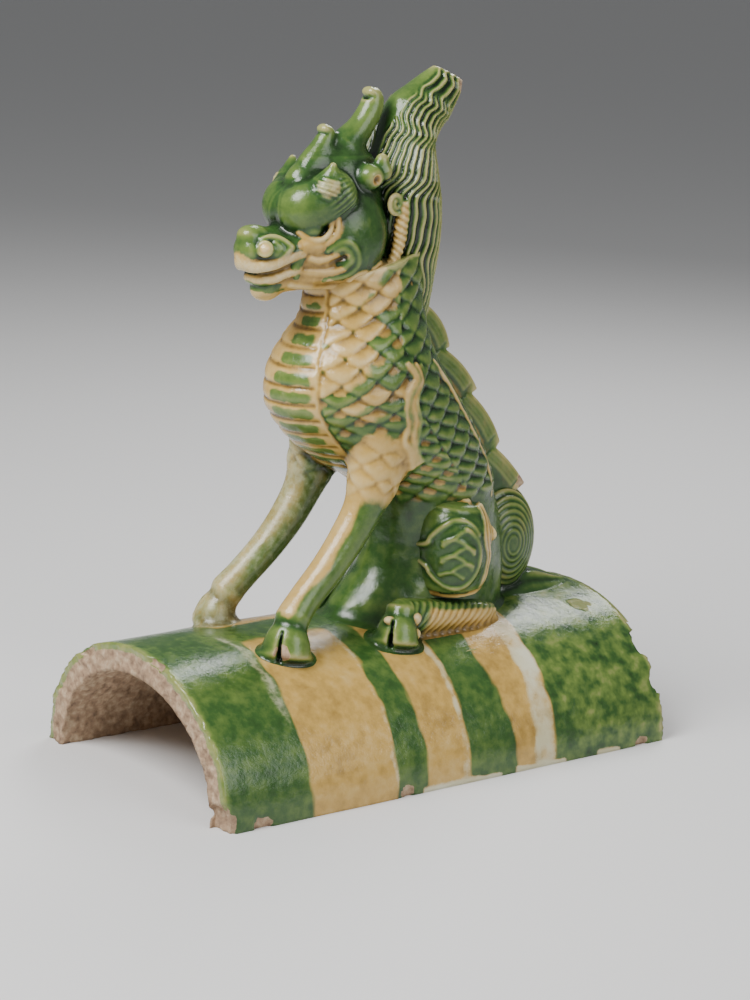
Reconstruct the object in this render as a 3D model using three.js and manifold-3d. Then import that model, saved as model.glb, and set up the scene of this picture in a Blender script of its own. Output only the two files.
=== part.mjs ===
// Glazed ridge tile with a seated guardian beast, one fired piece of stoneware.
// Millimetres, +Z up. The beast faces -Y along the tile, its left side is +X,
// and the origin is on the ground in the middle of the tile.
import * as THREE from 'three';
import Module from 'manifold-3d';

const wasm = await Module();
wasm.setup();

// ---- driving sizes ----------------------------------------------------------
const TILE = { width: 160, length: 267, rise: 66.7, wall: 13.5, roundness: 2.05 };
const TRUNK_SIDES = 34;
const SEAT_ROWS = 4;
const SCALE_ROWS = 20;
const SCALE_LIFT = 1.7;
const PLATE_LIFT = 2;
const CORD_LIFT = 2.3;
const FLAME_COLUMN = 9;
const CREST_COLUMN = 15;
const MANE_SIDES = 38;
const MANE_ROWS = 7;
const LOCK_DEPTH = 1.1;
const TOE_SPLAY = 0.6;

// Median slices of the trunk from the seat to the throat:
// front y, front z, back y, back z, half width.
const TRUNK = [
  [-24, 58, 78, 57, 30],
  [-18, 72, 81, 72, 29.5],
  [-3, 90, 80, 91, 28.5],
  [1, 110, 76, 112, 28.5],
  [-6, 130, 70, 130, 30],
  [-28, 146, 62, 147, 33.5],
  [-45, 159, 51, 166, 35],
  [-55.5, 174, 39, 182, 36],
  [-56, 189, 29, 197, 35],
  [-49, 203, 24, 211, 30.5],
  [-41, 214, 22, 223, 25],
  [-38.5, 224, 22, 236, 22.5],
  [-38, 236, 22, 250, 21],
];
const SCALES_START = 3.7;
const PLATES_START = 4.8;
const NECK_TOP = 11.4;

// Median slices of the mane, from the nape up to the swept tip.
const MANE = [
  [2, 204, 28, 209, 8],
  [0, 228, 29.5, 231, 14],
  [-6, 250, 31, 252, 18.5],
  [-10, 268, 30, 270, 21],
  [-8, 284, 27, 285, 20.5],
  [-3, 297, 25.5, 297, 17.5],
  [1, 309, 30, 304, 14],
  [6, 319.5, 36.5, 309, 11],
  [15, 325.5, 41, 316, 8.5],
  [24, 331, 44.6, 322.5, 6],
  [29.5, 334, 45.5, 327, 3.5],
];

// ---- shape helpers ----------------------------------------------------------

// Smooth value between the rows of a table, t counted in rows.
function blend(rows, t) {
  const last = rows.length - 1;
  const k = Math.min(Math.floor(t), last - 1);
  const f = t - k;
  const row = (i) => rows[Math.min(Math.max(i, 0), last)];
  return rows[0].map((_, c) => {
    const [a, b, d, e] = [row(k - 1)[c], row(k)[c], row(k + 1)[c], row(k + 2)[c]];
    return b + 0.5 * f * (d - a + f * (2 * a - 5 * b + 4 * d - e + f * (3 * (b - d) + e - a)));
  });
}

// Closed skin over rings of equal count, with a point at each end.
function skin(rings, start, end) {
  const n = rings[0].length;
  const points = [start, ...rings.flat(), end];
  const index = [];
  const tail = points.length - 1;
  rings.forEach((ring, r) => {
    ring.forEach((_, i) => {
      const j = (i + 1) % n;
      const a = 1 + r * n + i;
      const b = 1 + r * n + j;
      if (r === 0) index.push(0, b, a);
      if (r === rings.length - 1) index.push(a, b, tail);
      else index.push(a, b, b + n, a, b + n, a + n);
    });
  });
  const geometry = new THREE.BufferGeometry();
  geometry.setAttribute('position', new THREE.Float32BufferAttribute(points.flatMap((p) => p.toArray()), 3));
  geometry.setIndex(index);
  return geometry;
}

const middle = (ring) => ring.reduce((sum, p) => sum.add(p), new THREE.Vector3()).divideScalar(ring.length);

// Loft over median slices. squareness 2 is an ellipse; relief(i, row) lifts the skin.
function loft(table, sides, rows, { squareness = 2, relief = () => 0, at = (row) => ((table.length - 1) * row) / rows } = {}) {
  const rings = [];
  for (let row = 0; row <= rows; row += 1) {
    const [yf, zf, yb, zb, half] = blend(table, at(row));
    const centre = new THREE.Vector3(0, (yf + yb) / 2, (zf + zb) / 2);
    const forward = new THREE.Vector3(0, (yf - yb) / 2, (zf - zb) / 2);
    const reach = forward.length();
    forward.normalize();
    const ring = [];
    for (let i = 0; i < sides; i += 1) {
      const angle = (2 * Math.PI * i) / sides;
      const power = 2 / squareness;
      const c = Math.sign(Math.cos(angle)) * Math.abs(Math.cos(angle)) ** power;
      const s = Math.sign(Math.sin(angle)) * Math.abs(Math.sin(angle)) ** power;
      const lift = relief(i, row);
      const out = new THREE.Vector3(Math.sin(angle), 0, 0).addScaledVector(forward, Math.cos(angle));
      const point = centre.clone().addScaledVector(forward, reach * c);
      point.x += half * s;
      ring.push(point.addScaledVector(out, lift));
    }
    rings.push(ring);
  }
  return skin(rings, middle(rings[0]), middle(rings.at(-1)));
}

// Rounded limb along a path. Each row is x, y, z, half size along `across`, half size at right angles to it.
function limb(table, { sides = 8, steps = 6, across = [1, 0, 0], blunt = 0.9 } = {}) {
  const last = table.length - 1;
  const rings = [];
  const frame = (t) => {
    const here = blend(table, t);
    const ahead = new THREE.Vector3(...blend(table, Math.min(t + 0.05, last)));
    const behind = new THREE.Vector3(...blend(table, Math.max(t - 0.05, 0)));
    const along = ahead.sub(behind).normalize();
    const a = new THREE.Vector3(...across);
    a.addScaledVector(along, -a.dot(along)).normalize();
    const b = new THREE.Vector3().crossVectors(along, a);
    return { centre: new THREE.Vector3(here[0], here[1], here[2]), along, a, b, ra: here[3], rb: here[4] };
  };
  const ring = ({ centre, along, a, b, ra, rb }, shrink, shift) => Array.from({ length: sides }, (_, i) => {
    const angle = (2 * Math.PI * i) / sides;
    return centre.clone().addScaledVector(along, shift)
      .addScaledVector(a, Math.cos(angle) * ra * shrink)
      .addScaledVector(b, Math.sin(angle) * rb * shrink);
  });
  const first = frame(0);
  const final = frame(last);
  const nose = (f) => Math.min(f.ra, f.rb) * blunt;
  rings.push(ring(first, 0.72, -0.7 * nose(first)));
  for (let k = 0; k <= steps; k += 1) rings.push(ring(frame((last * k) / steps), 1, 0));
  rings.push(ring(final, 0.72, 0.7 * nose(final)));
  const start = first.centre.clone().addScaledVector(first.along, -nose(first));
  const end = final.centre.clone().addScaledVector(final.along, nose(final));
  return skin(rings, start, end);
}

// Ellipsoid with its own tilt, turned about X, then Z.
function ball(centre, radii, { pitch = 0, yaw = 0, sides = 12, rows = 8 } = {}) {
  const geometry = new THREE.SphereGeometry(1, sides, rows);
  const place = new THREE.Matrix4().compose(
    new THREE.Vector3(...centre),
    new THREE.Quaternion().setFromEuler(new THREE.Euler(pitch, 0, yaw, 'ZYX')),
    new THREE.Vector3(...radii),
  );
  return geometry.applyMatrix4(place);
}

// Plate cut from an outline in the y-z plane, thick in x, centred on `x`.
function fin(outline, thickness, x = 0) {
  const geometry = new THREE.ExtrudeGeometry(outline, { depth: thickness, bevelEnabled: false, curveSegments: 6 });
  const upright = new THREE.Matrix4().set(0, 0, 1, x - thickness / 2, 1, 0, 0, 0, 0, 1, 0, 0, 0, 0, 0, 1);
  return geometry.applyMatrix4(upright);
}

// ---- solids -----------------------------------------------------------------

// Welds shared vertices and turns the faces outward.
function solid(geometry) {
  const position = geometry.getAttribute('position');
  const order = geometry.index ? Array.from(geometry.index.array) : [...Array(position.count).keys()];
  const seen = new Map();
  const vertices = [];
  const weld = (i) => {
    const p = [position.getX(i), position.getY(i), position.getZ(i)].map((v) => Math.round(v * 1e4) / 1e4);
    const key = p.join();
    if (!seen.has(key)) {
      seen.set(key, vertices.length / 3);
      vertices.push(...p);
    }
    return seen.get(key);
  };
  const triangles = [];
  for (let i = 0; i < order.length; i += 3) {
    const [a, b, c] = [weld(order[i]), weld(order[i + 1]), weld(order[i + 2])];
    if (a !== b && b !== c && c !== a) triangles.push(a, b, c);
  }
  let volume = 0;
  const v = (i) => new THREE.Vector3(...vertices.slice(3 * i, 3 * i + 3));
  for (let i = 0; i < triangles.length; i += 3) {
    volume += v(triangles[i]).dot(v(triangles[i + 1]).cross(v(triangles[i + 2])));
  }
  if (volume < 0) triangles.reverse();
  return new wasm.Manifold(new wasm.Mesh({
    numProp: 3,
    vertProperties: new Float32Array(vertices),
    triVerts: new Uint32Array(triangles),
  }));
}

const join = (solids) => solids.reduce((whole, next) => whole.add(next));
const mirrored = (geometry) => geometry.clone().applyMatrix4(new THREE.Matrix4().makeScale(-1, 1, 1));
const pair = (geometries) => geometries.flatMap((g) => [solid(g), solid(mirrored(g))]);

// ---- the ridge tile ---------------------------------------------------------

const outerHeight = (x, half = TILE.width / 2, rise = TILE.rise) => (
  rise * (1 - Math.min(Math.abs(x) / half, 1) ** TILE.roundness) ** (1 / TILE.roundness));

function arch(half, rise, steps) {
  const points = [];
  for (let i = 0; i <= steps; i += 1) {
    const angle = (Math.PI * i) / steps;
    const c = Math.cos(angle);
    const power = 2 / TILE.roundness;
    points.push(new THREE.Vector2(half * Math.sign(c) * Math.abs(c) ** power, rise * Math.sin(angle) ** power));
  }
  return points;
}

function tile() {
  const half = TILE.width / 2;
  const outer = arch(half, TILE.rise, 36);
  const inner = arch(half - TILE.wall, TILE.rise - TILE.wall, 28).reverse();
  const section = new THREE.Shape([...outer, ...inner]);
  const geometry = new THREE.ExtrudeGeometry(section, { depth: TILE.length, bevelEnabled: false });
  geometry.rotateX(Math.PI / 2);
  geometry.translate(0, TILE.length / 2, 0);
  return solid(geometry);
}

// ---- trunk, crest and shoulder cords ------------------------------------------

// Half width of the trunk at a height and depth.
function flank(y, z) {
  const over = (t) => {
    const [yf, zf, yb, zb] = blend(TRUNK, t);
    return (z - zf) * (yf - yb) - (y - yf) * (zf - zb);
  };
  let [low, high] = [0, TRUNK.length - 1];
  const sign = Math.sign(over(low));
  for (let k = 0; k < 30; k += 1) {
    const mid = (low + high) / 2;
    if (Math.sign(over(mid)) === sign) low = mid;
    else high = mid;
  }
  const [yf, zf, yb, zb, half] = blend(TRUNK, low);
  const reach = Math.hypot(yf - yb, zf - zb) / 2;
  const along = Math.hypot(y - (yf + yb) / 2, z - (zf + zb) / 2) / reach;
  return half * Math.sqrt(Math.max(1 - along * along, 0));
}

// Overlapping scales on the sides, broad plates down the chest, a raised border between them,
// a wavy flame behind the shoulder and a cord along the foot of the crest.
function trunkRow(row) {
  if (row < SEAT_ROWS) return (SCALES_START * row) / SEAT_ROWS;
  return SCALES_START + ((NECK_TOP - SCALES_START) * (row - SEAT_ROWS)) / SCALE_ROWS;
}

function trunkRelief(i, row) {
  const k = Math.min(i, TRUNK_SIDES - i);
  const lower = row % 2 === 0;
  const plated = trunkRow(row) > PLATES_START;
  if (k <= 3) return plated && !lower ? PLATE_LIFT : 0;
  if (k === 4) return plated ? 1 : 0;
  if (row < SEAT_ROWS || k > CREST_COLUMN) return 0;
  if (k === CREST_COLUMN) return CORD_LIFT * 0.6;
  const sway = row % 4 < 2 ? 0 : 1;
  if (k === FLAME_COLUMN + sway) return CORD_LIFT;
  const centred = (k + Math.floor(row / 2)) % 2 === 0;
  if (!centred) return 0;
  return lower ? SCALE_LIFT : SCALE_LIFT * 0.4;
}

function trunk() {
  return solid(loft(TRUNK, TRUNK_SIDES, SEAT_ROWS + SCALE_ROWS, { relief: trunkRelief, at: trunkRow }));
}

// Back fin: each row is the notch where a lobe starts, its shoulder and its hooked tip.
const CREST = [
  [30, 217, 41, 209, 43.5, 197],
  [39.5, 196, 55, 187, 62, 174],
  [58, 172, 73, 160, 78.5, 145.5],
  [76, 142, 87, 134, 96, 122],
];

function crest() {
  const outline = new THREE.Shape();
  outline.moveTo(18, 215);
  CREST.forEach(([y, z, yc, zc, yt, zt]) => {
    outline.lineTo(y, z);
    outline.quadraticCurveTo(yc, zc, yt, zt);
  });
  outline.lineTo(86, 116);
  outline.lineTo(64, 112);
  outline.lineTo(50, 140);
  outline.lineTo(30, 172);
  return [solid(fin(outline, 7))];
}

// ---- head -----------------------------------------------------------------------

// Fine locks combed along the mane: every second vertex sinks between two ridges.
function maneRelief(i) {
  const k = Math.min(i, MANE_SIDES - i);
  if (k === 0) return 0;
  return k % 2 === 0 ? LOCK_DEPTH : -LOCK_DEPTH;
}

const mane = () => solid(loft(MANE, MANE_SIDES, MANE_ROWS, { relief: maneRelief, squareness: 2.2 }));

function skull() {
  return [
    solid(ball([0, -25, 262], [20.5, 25, 27], { sides: 10, rows: 6 })),
    solid(ball([0, -23, 280], [14.5, 20, 20], { pitch: -0.5, sides: 10, rows: 6 })),
    solid(ball([0, -42, 256], [17.5, 16, 13], { sides: 8, rows: 6 })),
    ...pair([ball([8.5, -24, 254], [14, 19, 22], { sides: 10, rows: 7 })]),
  ];
}

function brows() {
  const roll = [[4, -51.5, 269, 11.5, 10], [8.5, -50, 270, 12, 10], [13, -41.5, 274.5, 11, 8.5], [17, -34, 280, 8.5, 7]];
  return pair([limb(roll, { sides: 9, steps: 4, across: [0, 0, 1] })]);
}

function eyes() {
  return pair([ball([14, -46.5, 263], [6.2, 6.8, 6.2], { sides: 8, rows: 6 })]);
}

function muzzle() {
  const upper = [[0, -46, 254, 16, 9], [0, -58, 252, 14.5, 8], [0, -68, 251.5, 13.5, 7.5], [0, -76, 251, 8.5, 6]];
  const lower = [[0, -16, 242, 16.5, 9.5], [0, -36, 240, 16.5, 8], [0, -52, 237.5, 13.5, 7], [0, -66, 236, 8.5, 6]];
  const half = [[17, -52, 257, 2.2, 2.2], [15.5, -61, 250.5, 2.8, 2.8], [12.5, -71, 245.5, 3.3, 3.3], [6.5, -77.5, 245.5, 3.4, 3.4]];
  const under = [[14, -54, 243, 2.4, 2.4], [12, -64, 239.5, 2.8, 2.8], [6.5, -71.5, 239, 2.8, 2.8]];
  const round = (rows, tip) => [...rows, tip, ...rows.toReversed().map(([x, ...rest]) => [-x, ...rest])];
  return [
    solid(limb(upper, { sides: 10, steps: 3 })),
    solid(limb(lower, { sides: 10, steps: 3 })),
    solid(limb(round(half, [0, -79.5, 247, 3.7, 3.7]), { sides: 4, steps: 7, across: [0, 0, 1] })),
    solid(limb(round(under, [0, -73.5, 239.5, 2.8, 2.8]), { sides: 4, steps: 7, across: [0, 0, 1] })),
    solid(ball([0, -66, 232.5], [5.5, 6, 4.5], { sides: 6, rows: 5 })),
    solid(limb([[0, -66, 256, 4.5, 4], [0, -73, 256, 5, 4.6], [0, -75.5, 254, 4, 5]], { sides: 6, steps: 2 })),
  ];
}

function nostrils() {
  const wing = [[7, -76, 255, 1.8, 1.8], [11.5, -73, 258.5, 2.2, 2.2], [15, -68, 256.5, 2.4, 2.4], [14.5, -70, 250.5, 2, 2]];
  return pair([limb(wing, { sides: 4, steps: 3 })]);
}

// Curled mouth corners, tusks, ears and whisker curls on both cheeks.
function trimmings() {
  const corner = [
    [17, -43, 239, 2.2, 2.2], [19.5, -34, 240, 2.4, 2.4], [21.5, -27.5, 244.5, 2.4, 2.4],
    [21.5, -28, 251, 2.4, 2.4], [20, -34, 255, 2.2, 2.2], [17.5, -41, 254, 1.8, 1.8],
  ];
  const tusk = [[15.5, -53.5, 250, 2.2, 2.8], [15.5, -52, 244, 2.2, 2.8], [15, -50, 239, 1, 1.2]];
  const ear = [[14, -18, 282, 4.6, 4.6], [20.5, -15.5, 284, 4.2, 4.2]];
  const rope = [
    [20, -10, 270, 4, 4], [20.5, -4, 270, 4, 4], [20, -1.5, 263, 3, 3], [19.5, -1, 254, 2.8, 2.8],
    [19, -2, 245.5, 2.8, 2.8], [18.5, -6, 238, 2.6, 2.6], [16.5, -13, 233.5, 2.2, 2.2],
  ];
  return pair([
    limb(corner, { sides: 4, steps: 6 }),
    limb(tusk, { sides: 4, steps: 1 }),
    limb(ear, { sides: 6, steps: 1, across: [0, 0, 1] }),
    limb(rope, { sides: 4, steps: 6 }),
  ]);
}

// Two hooks on the middle line: a short tuft over the brows and the horn behind it.
function hooks() {
  const tuft = [[0, -45, 281, 8, 8], [0, -40, 290, 6.5, 7], [0, -34, 298, 5, 6], [0, -31.5, 304, 4.2, 4]];
  const horn = [[0, -21, 299, 7, 8], [0, -13, 306.5, 6, 6], [0, -7, 314, 5.8, 5.8], [0, -6.5, 319.5, 5.4, 5.2]];
  return [
    solid(limb(tuft, { sides: 8, steps: 4 })),
    solid(limb(horn, { sides: 8, steps: 4 })),
    solid(ball([0, -48.5, 284], [4.5, 4, 4], { sides: 6, rows: 4 })),
  ];
}

// ---- legs -----------------------------------------------------------------------

// Hoof on the curve of the tile, turned out by the splay, and the blade that cleaves its toes.
function hoof(x, y, size) {
  const forward = new THREE.Vector3(Math.sin(TOE_SPLAY), -Math.cos(TOE_SPLAY), 0);
  const side = new THREE.Vector3(Math.cos(TOE_SPLAY), Math.sin(TOE_SPLAY), 0);
  const row = (ahead, up, across, deep) => {
    const p = new THREE.Vector3(x, y, 0).addScaledVector(forward, ahead * size);
    return [p.x, p.y, outerHeight(x) + up * size, across * size, deep * size];
  };
  const body = limb([row(-7, 19, 8, 7.5), row(-4, 13, 9.8, 9.5), row(-1, 6, 12.3, 11.5), row(0, 1, 13.2, 12)],
    { sides: 8, steps: 3, across: side.toArray(), blunt: 0.3 });
  const reach = 9 * size;
  const blade = new THREE.BoxGeometry(2.2 * size, 2 * reach, 15 * size);
  blade.rotateX(-0.35);
  blade.rotateZ(TOE_SPLAY);
  blade.translate(x + forward.x * 13 * size, y + forward.y * 13 * size, outerHeight(x) + 9.5 * size);
  return { body, blade };
}

function foreleg() {
  const leg = [
    [24, -11, 160, 11, 19], [25, -16, 142, 10.5, 13.5], [25, -22, 127, 9.2, 10], [25, -31, 113, 8.4, 9],
    [25.5, -42, 100, 8, 8.2], [26.5, -55, 87.5, 7.8, 7.8], [28, -62.5, 80, 8.2, 8.2],
  ];
  return { leg: limb(leg, { sides: 8, steps: 6 }), ...hoof(32.5, -70, 1) };
}

function hindLeg() {
  const shank = [[33, 64, 67, 5, 4.5], [34, 50, 70, 8.5, 9], [35, 30, 71.5, 9.5, 10.5], [36, 10, 72.5, 9, 10.5], [36, -2, 73, 8, 9]];
  return { leg: limb(shank, { sides: 8, steps: 3 }), ...hoof(37.5, -9, 0.88) };
}

const HAUNCH = { x: 24, y: 33, outward: 19, along: 19 };
const SWIRL = { y: 27, z: 107.5, along: 12.5, up: 16 };

function haunches() {
  const { x, y, outward, along } = HAUNCH;
  const rows = [
    [x, y, 84, outward - 2.5, along - 1.5], [x, y, 96, outward, along],
    [x, y, 113, outward, along], [x, y + 1, 121, outward - 4, along - 3],
  ];
  const skinX = (py) => x + outward * Math.sqrt(Math.max(1 - ((py - y) / along) ** 2, 0));
  const coil = [];
  const turns = 1.7;
  for (let k = 0; k <= 14; k += 1) {
    const angle = (2 * Math.PI * turns * k) / 14;
    const shrink = 1 - 0.75 * (k / 14);
    const py = SWIRL.y + SWIRL.along * shrink * Math.cos(angle);
    coil.push([skinX(py) - 0.4, py, SWIRL.z + SWIRL.up * shrink * Math.sin(angle), 1.7, 1.7]);
  }
  const locks = [0, 1].map((k) => {
    const wave = (z) => 50.5 + 8 * k + 2.2 * Math.sin(z / 7 + k);
    return [128, 117, 106, 95, 84].map((z) => [flank(wave(z), z) + 0.8, wave(z), z, 3.4, 3.8]);
  });
  return pair([
    limb(rows, { sides: 11, steps: 3, blunt: 0.35 }),
    limb(coil, { sides: 4, steps: 11 }),
    ...locks.map((lock) => limb(lock, { sides: 4, steps: 5 })),
  ]);
}

// ---- tail -----------------------------------------------------------------------

const TAIL = { y: 83.5, z: 93.5, thick: 13, along: 21, up: 28.5 };

function tail() {
  const { y, z, thick, along, up } = TAIL;
  const coil = [];
  for (let k = 0; k <= 14; k += 1) {
    const angle = (2 * Math.PI * 1.5 * k) / 14 - 1.2;
    const share = 0.9 - 0.6 * (k / 14);
    const side = thick * Math.sqrt(1 - share * share);
    coil.push([side, y + along * share * Math.cos(angle), z + up * share * Math.sin(angle), 1.8, 1.8]);
  }
  const leaf = [[0, 84, 64, 10, 10], [0, 98, 67, 10, 9.5], [0, 110, 66.5, 8.5, 7.5], [0, 121, 66, 5, 3.5], [0, 126, 65.5, 2, 1.6]];
  return [
    solid(ball([0, y, z], [thick, along, up], { sides: 12, rows: 8 })),
    ...pair([limb(coil, { sides: 4, steps: 11 })]),
    solid(limb(leaf, { sides: 8, steps: 4 })),
  ];
}

// ---- the whole piece ------------------------------------------------------------

const legs = [foreleg(), hindLeg()];
const whole = join([
  tile(), trunk(), mane(), ...crest(), ...skull(), ...brows(), ...eyes(), ...muzzle(), ...nostrils(),
  ...trimmings(), ...hooks(), ...haunches(), ...tail(), ...pair(legs.flatMap(({ leg, body }) => [leg, body])),
]).subtract(join(pair(legs.map(({ blade }) => blade))));

function meshOf(name, body, material) {
  const mesh = body.getMesh();
  const geometry = new THREE.BufferGeometry();
  const positions = new Float32Array(mesh.numVert * 3);
  for (let i = 0; i < mesh.numVert; i += 1) {
    for (let c = 0; c < 3; c += 1) positions[3 * i + c] = mesh.vertProperties[i * mesh.numProp + c];
  }
  geometry.setAttribute('position', new THREE.BufferAttribute(positions, 3));
  geometry.setIndex(new THREE.BufferAttribute(new Uint32Array(mesh.triVerts), 1));
  geometry.computeVertexNormals();
  const result = new THREE.Mesh(geometry, material);
  result.name = name;
  return result;
}

const glaze = new THREE.MeshStandardMaterial({ color: 0x4f7f3a, roughness: 0.25, metalness: 0 });
const object = new THREE.Group();
object.add(meshOf('ridge_beast_tile', whole, glaze));

export default object;
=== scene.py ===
"""Looks of the glazed ridge tile with its seated guardian beast.

The tables are in millimetres in the CAD model's frame, the beast facing -Y with its left side at +X,
and UNIT turns them into metres. Each form is a dense closed skin with its carving worked in. The forms
of a piece are melted together in a distance field, turned into one mesh, and painted by their glaze.
"""

import math

import bpy
import numpy as np
import openvdb as vdb
from mathutils import Matrix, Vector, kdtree
from mathutils.geometry import tessellate_polygon


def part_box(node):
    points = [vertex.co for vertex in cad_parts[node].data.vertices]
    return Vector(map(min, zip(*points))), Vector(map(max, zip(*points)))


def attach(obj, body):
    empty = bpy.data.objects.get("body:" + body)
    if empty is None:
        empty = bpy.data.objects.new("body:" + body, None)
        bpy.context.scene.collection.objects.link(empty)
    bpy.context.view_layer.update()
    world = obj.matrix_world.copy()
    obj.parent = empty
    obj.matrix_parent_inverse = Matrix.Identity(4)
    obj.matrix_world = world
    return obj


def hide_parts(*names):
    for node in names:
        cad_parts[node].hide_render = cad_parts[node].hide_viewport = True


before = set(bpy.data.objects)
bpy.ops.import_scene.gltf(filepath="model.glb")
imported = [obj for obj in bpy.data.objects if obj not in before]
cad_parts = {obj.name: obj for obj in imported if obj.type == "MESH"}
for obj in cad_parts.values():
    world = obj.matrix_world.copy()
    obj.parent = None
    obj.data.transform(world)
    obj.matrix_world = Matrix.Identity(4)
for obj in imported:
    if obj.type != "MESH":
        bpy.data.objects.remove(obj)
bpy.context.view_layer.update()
NODE = "ridge_beast_tile"
LOW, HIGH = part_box(NODE)
FULL_HEIGHT = 334.24
UNIT = (HIGH.z - LOW.z) / FULL_HEIGHT
COARSE = 1.0
BODY_VOXEL = 0.72 * COARSE
HIND_VOXEL = 0.62 * COARSE
HEAD_VOXEL = 0.6 * COARSE
BAND = 8
MOST_TRIANGLES = 190000

TILE_HALF = (HIGH.x - LOW.x) / UNIT / 2
TILE_LENGTH = (HIGH.y - LOW.y) / UNIT
TILE_RISE = 66.7
TILE_WALL = 13.5
TILE_ROUNDNESS = 2.05
# Runs of amber glaze down the tile's near side: their edges along the tile at the crown and at the
# foot, and the width of the whitish bloom behind them.
RUNS = [
    {"front": (-84, -86), "rear": (-36.5, -40), "bloom": 3},
    {"front": (-20, -17), "rear": (5, 2.5), "bloom": 5},
    {"front": (31, 38), "rear": (51, 46), "bloom": 14},
]
# Strips along the foot of the near side where the glaze stops short.
BARE_FOOT = [(-21, 27), (36, 68), (88, 103)]
# Chips out of the tile: x, y, z and the reach along each.
CHIPS = [
    (TILE_HALF, -30, 2, 14, 4.5, 3.5), (TILE_HALF, -112, 2, 14, 6, 4), (TILE_HALF, -134, 4, 16, 7, 9),
    (TILE_HALF, 118, 2, 14, 4, 3), (59, 134, 46, 8, 6, 7), (72, 134, 30, 6, 5, 6), (30, 114, 63, 5, 4, 5),
    (-70, 134, 34, 8, 6, 9), (-TILE_HALF, -60, 2, 14, 7, 3.5), (-TILE_HALF, 40, 2, 14, 9, 3),
    (20, -135, 66, 8, 4, 4), (-48, -135, 54, 9, 4, 5),
]

# Share of green, of pale bloom and of bare clay in a glaze; the pale share also carries a few painted
# highlights.
GREEN = (1.0, 0.0, 0.0)
AMBER = (0.0, 0.0, 0.0)
CREAM = (0.0, 0.4, 0.0)
OLIVE = (0.72, 0.08, 0.0)
MIXED = (0.45, 0.05, 0.0)
BUFF = (0.2, 0.1, 0.0)
WHITISH = (0.55, 0.42, 0.0)
PALE_GREEN = (0.9, 0.12, 0.0)
CLAYEY = (0.1, 0.1, 0.3)
CLAY = (0.0, 0.0, 1.0)


# ---- numbers --------------------------------------------------------------


def blend(rows, t):
    """Smooth values between the rows of a table, t counted in rows."""
    rows = np.asarray(rows, float)
    t = np.atleast_1d(np.asarray(t, float))
    last = len(rows) - 1
    k = np.clip(np.floor(t).astype(int), 0, last - 1)
    f = (t - k)[:, None]
    a, b, d, e = (rows[np.clip(k + i, 0, last)] for i in (-1, 0, 1, 2))
    return b + 0.5 * f * (d - a + f * (2 * a - 5 * b + 4 * d - e + f * (3 * (b - d) + e - a)))


def ease(low, high, value):
    """0 below low, 1 above high, smooth between."""
    f = np.clip((value - low) / (high - low), 0, 1)
    return f * f * (3 - 2 * f)


def window(value, low, high, soft):
    """1 between low and high, fading to 0 over `soft` on both sides."""
    return ease(low - soft, low + soft, value) * ease(high + soft, high - soft, value)


def unit(vectors):
    return vectors / np.maximum(np.linalg.norm(vectors, axis=-1, keepdims=True), 1e-9)


def signed_power(value, power):
    return np.sign(value) * np.abs(value) ** power


def between(a, b, share):
    return np.array(a) * (1 - share) + np.array(b) * share


def chance(tag):
    """A fixed random number from 0 to 1 for each tag."""
    return np.abs(np.sin(tag * 12.9898 + 4.1) * 43758.5453) % 1


def noise(points, size, seed=0):
    """Smooth noise from -1 to 1 whose lumps are about `size` across."""
    place = points / size + seed * 17.31
    cell = np.floor(place).astype(np.int64)
    f = place - cell
    f = f * f * (3 - 2 * f)
    total = np.zeros(len(points))
    for corner in np.ndindex(2, 2, 2):
        mixed = ((cell + corner) * [73856093, 19349663, 83492791]).sum(1)
        mixed = (mixed ^ (mixed >> 13)) * 1274126177
        value = ((mixed >> 7) & 0xFFFF) / 32767.5 - 1
        total += value * np.prod(np.where(corner, f, 1 - f), axis=1)
    return total


# ---- forms ----------------------------------------------------------------


class Form:
    """A closed skin: points in millimetres, quads, and the glaze at each point."""

    def __init__(self, points, quads, glaze):
        self.points = np.asarray(points, float)
        self.quads = np.asarray(quads, int)
        self.glaze = np.broadcast_to(np.asarray(glaze, float), (len(self.points), 3)).copy()

    def mirrored(self):
        """The same form on the other side."""
        return Form(self.points * [-1, 1, 1], self.quads[:, ::-1], self.glaze)


def skin(rings, glaze=GREEN):
    """Closes a tube of rings (rows, sides, 3) with a point at each end."""
    rows, sides, _ = rings.shape
    points = np.vstack([rings.reshape(-1, 3), rings[0].mean(0), rings[-1].mean(0)])
    i = np.arange(sides)
    j = (i + 1) % sides
    quads = []
    for row in range(rows - 1):
        base = row * sides
        quads.append(np.stack([base + i, base + j, base + sides + j, base + sides + i], 1))
    start, end, top = rows * sides, rows * sides + 1, (rows - 1) * sides
    # A cap is a fan of quads whose last corner is doubled on the middle point.
    quads.append(np.stack([np.full(sides, start), j, i, np.full(sides, start)], 1))
    quads.append(np.stack([top + i, top + j, np.full(sides, end), np.full(sides, end)], 1))
    full = glaze
    if np.ndim(glaze) == 3:
        flat = glaze.reshape(-1, 3)
        full = np.vstack([flat, flat[0], flat[-1]])
    return Form(points, np.vstack(quads), full)


class Sheet:
    """Row and angle of each point of a loft, its millimetres from the top and those round from the front."""

    def __init__(self, points, t, angle, centre):
        self.points = points
        self.t = np.broadcast_to(t[:, None], points.shape[:2])
        self.angle = np.broadcast_to(angle[None, :], points.shape[:2])
        steps = np.linalg.norm(np.diff(centre, axis=0), axis=1)
        length = np.concatenate([[0], np.cumsum(steps)])
        self.down = np.broadcast_to((length[-1] - length)[:, None], points.shape[:2])
        gaps = np.linalg.norm(np.roll(points, -1, 1) - points, axis=2)
        round_left = np.cumsum(np.concatenate([np.zeros((len(t), 1)), gaps[:, :-1]], 1), 1)
        self.round = np.minimum(round_left, gaps.sum(1, keepdims=True) - round_left)
        self.side = np.sign(np.sin(self.angle))

    def noise(self, size, seed=0):
        return noise(self.points.reshape(-1, 3), size, seed).reshape(self.angle.shape)


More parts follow.
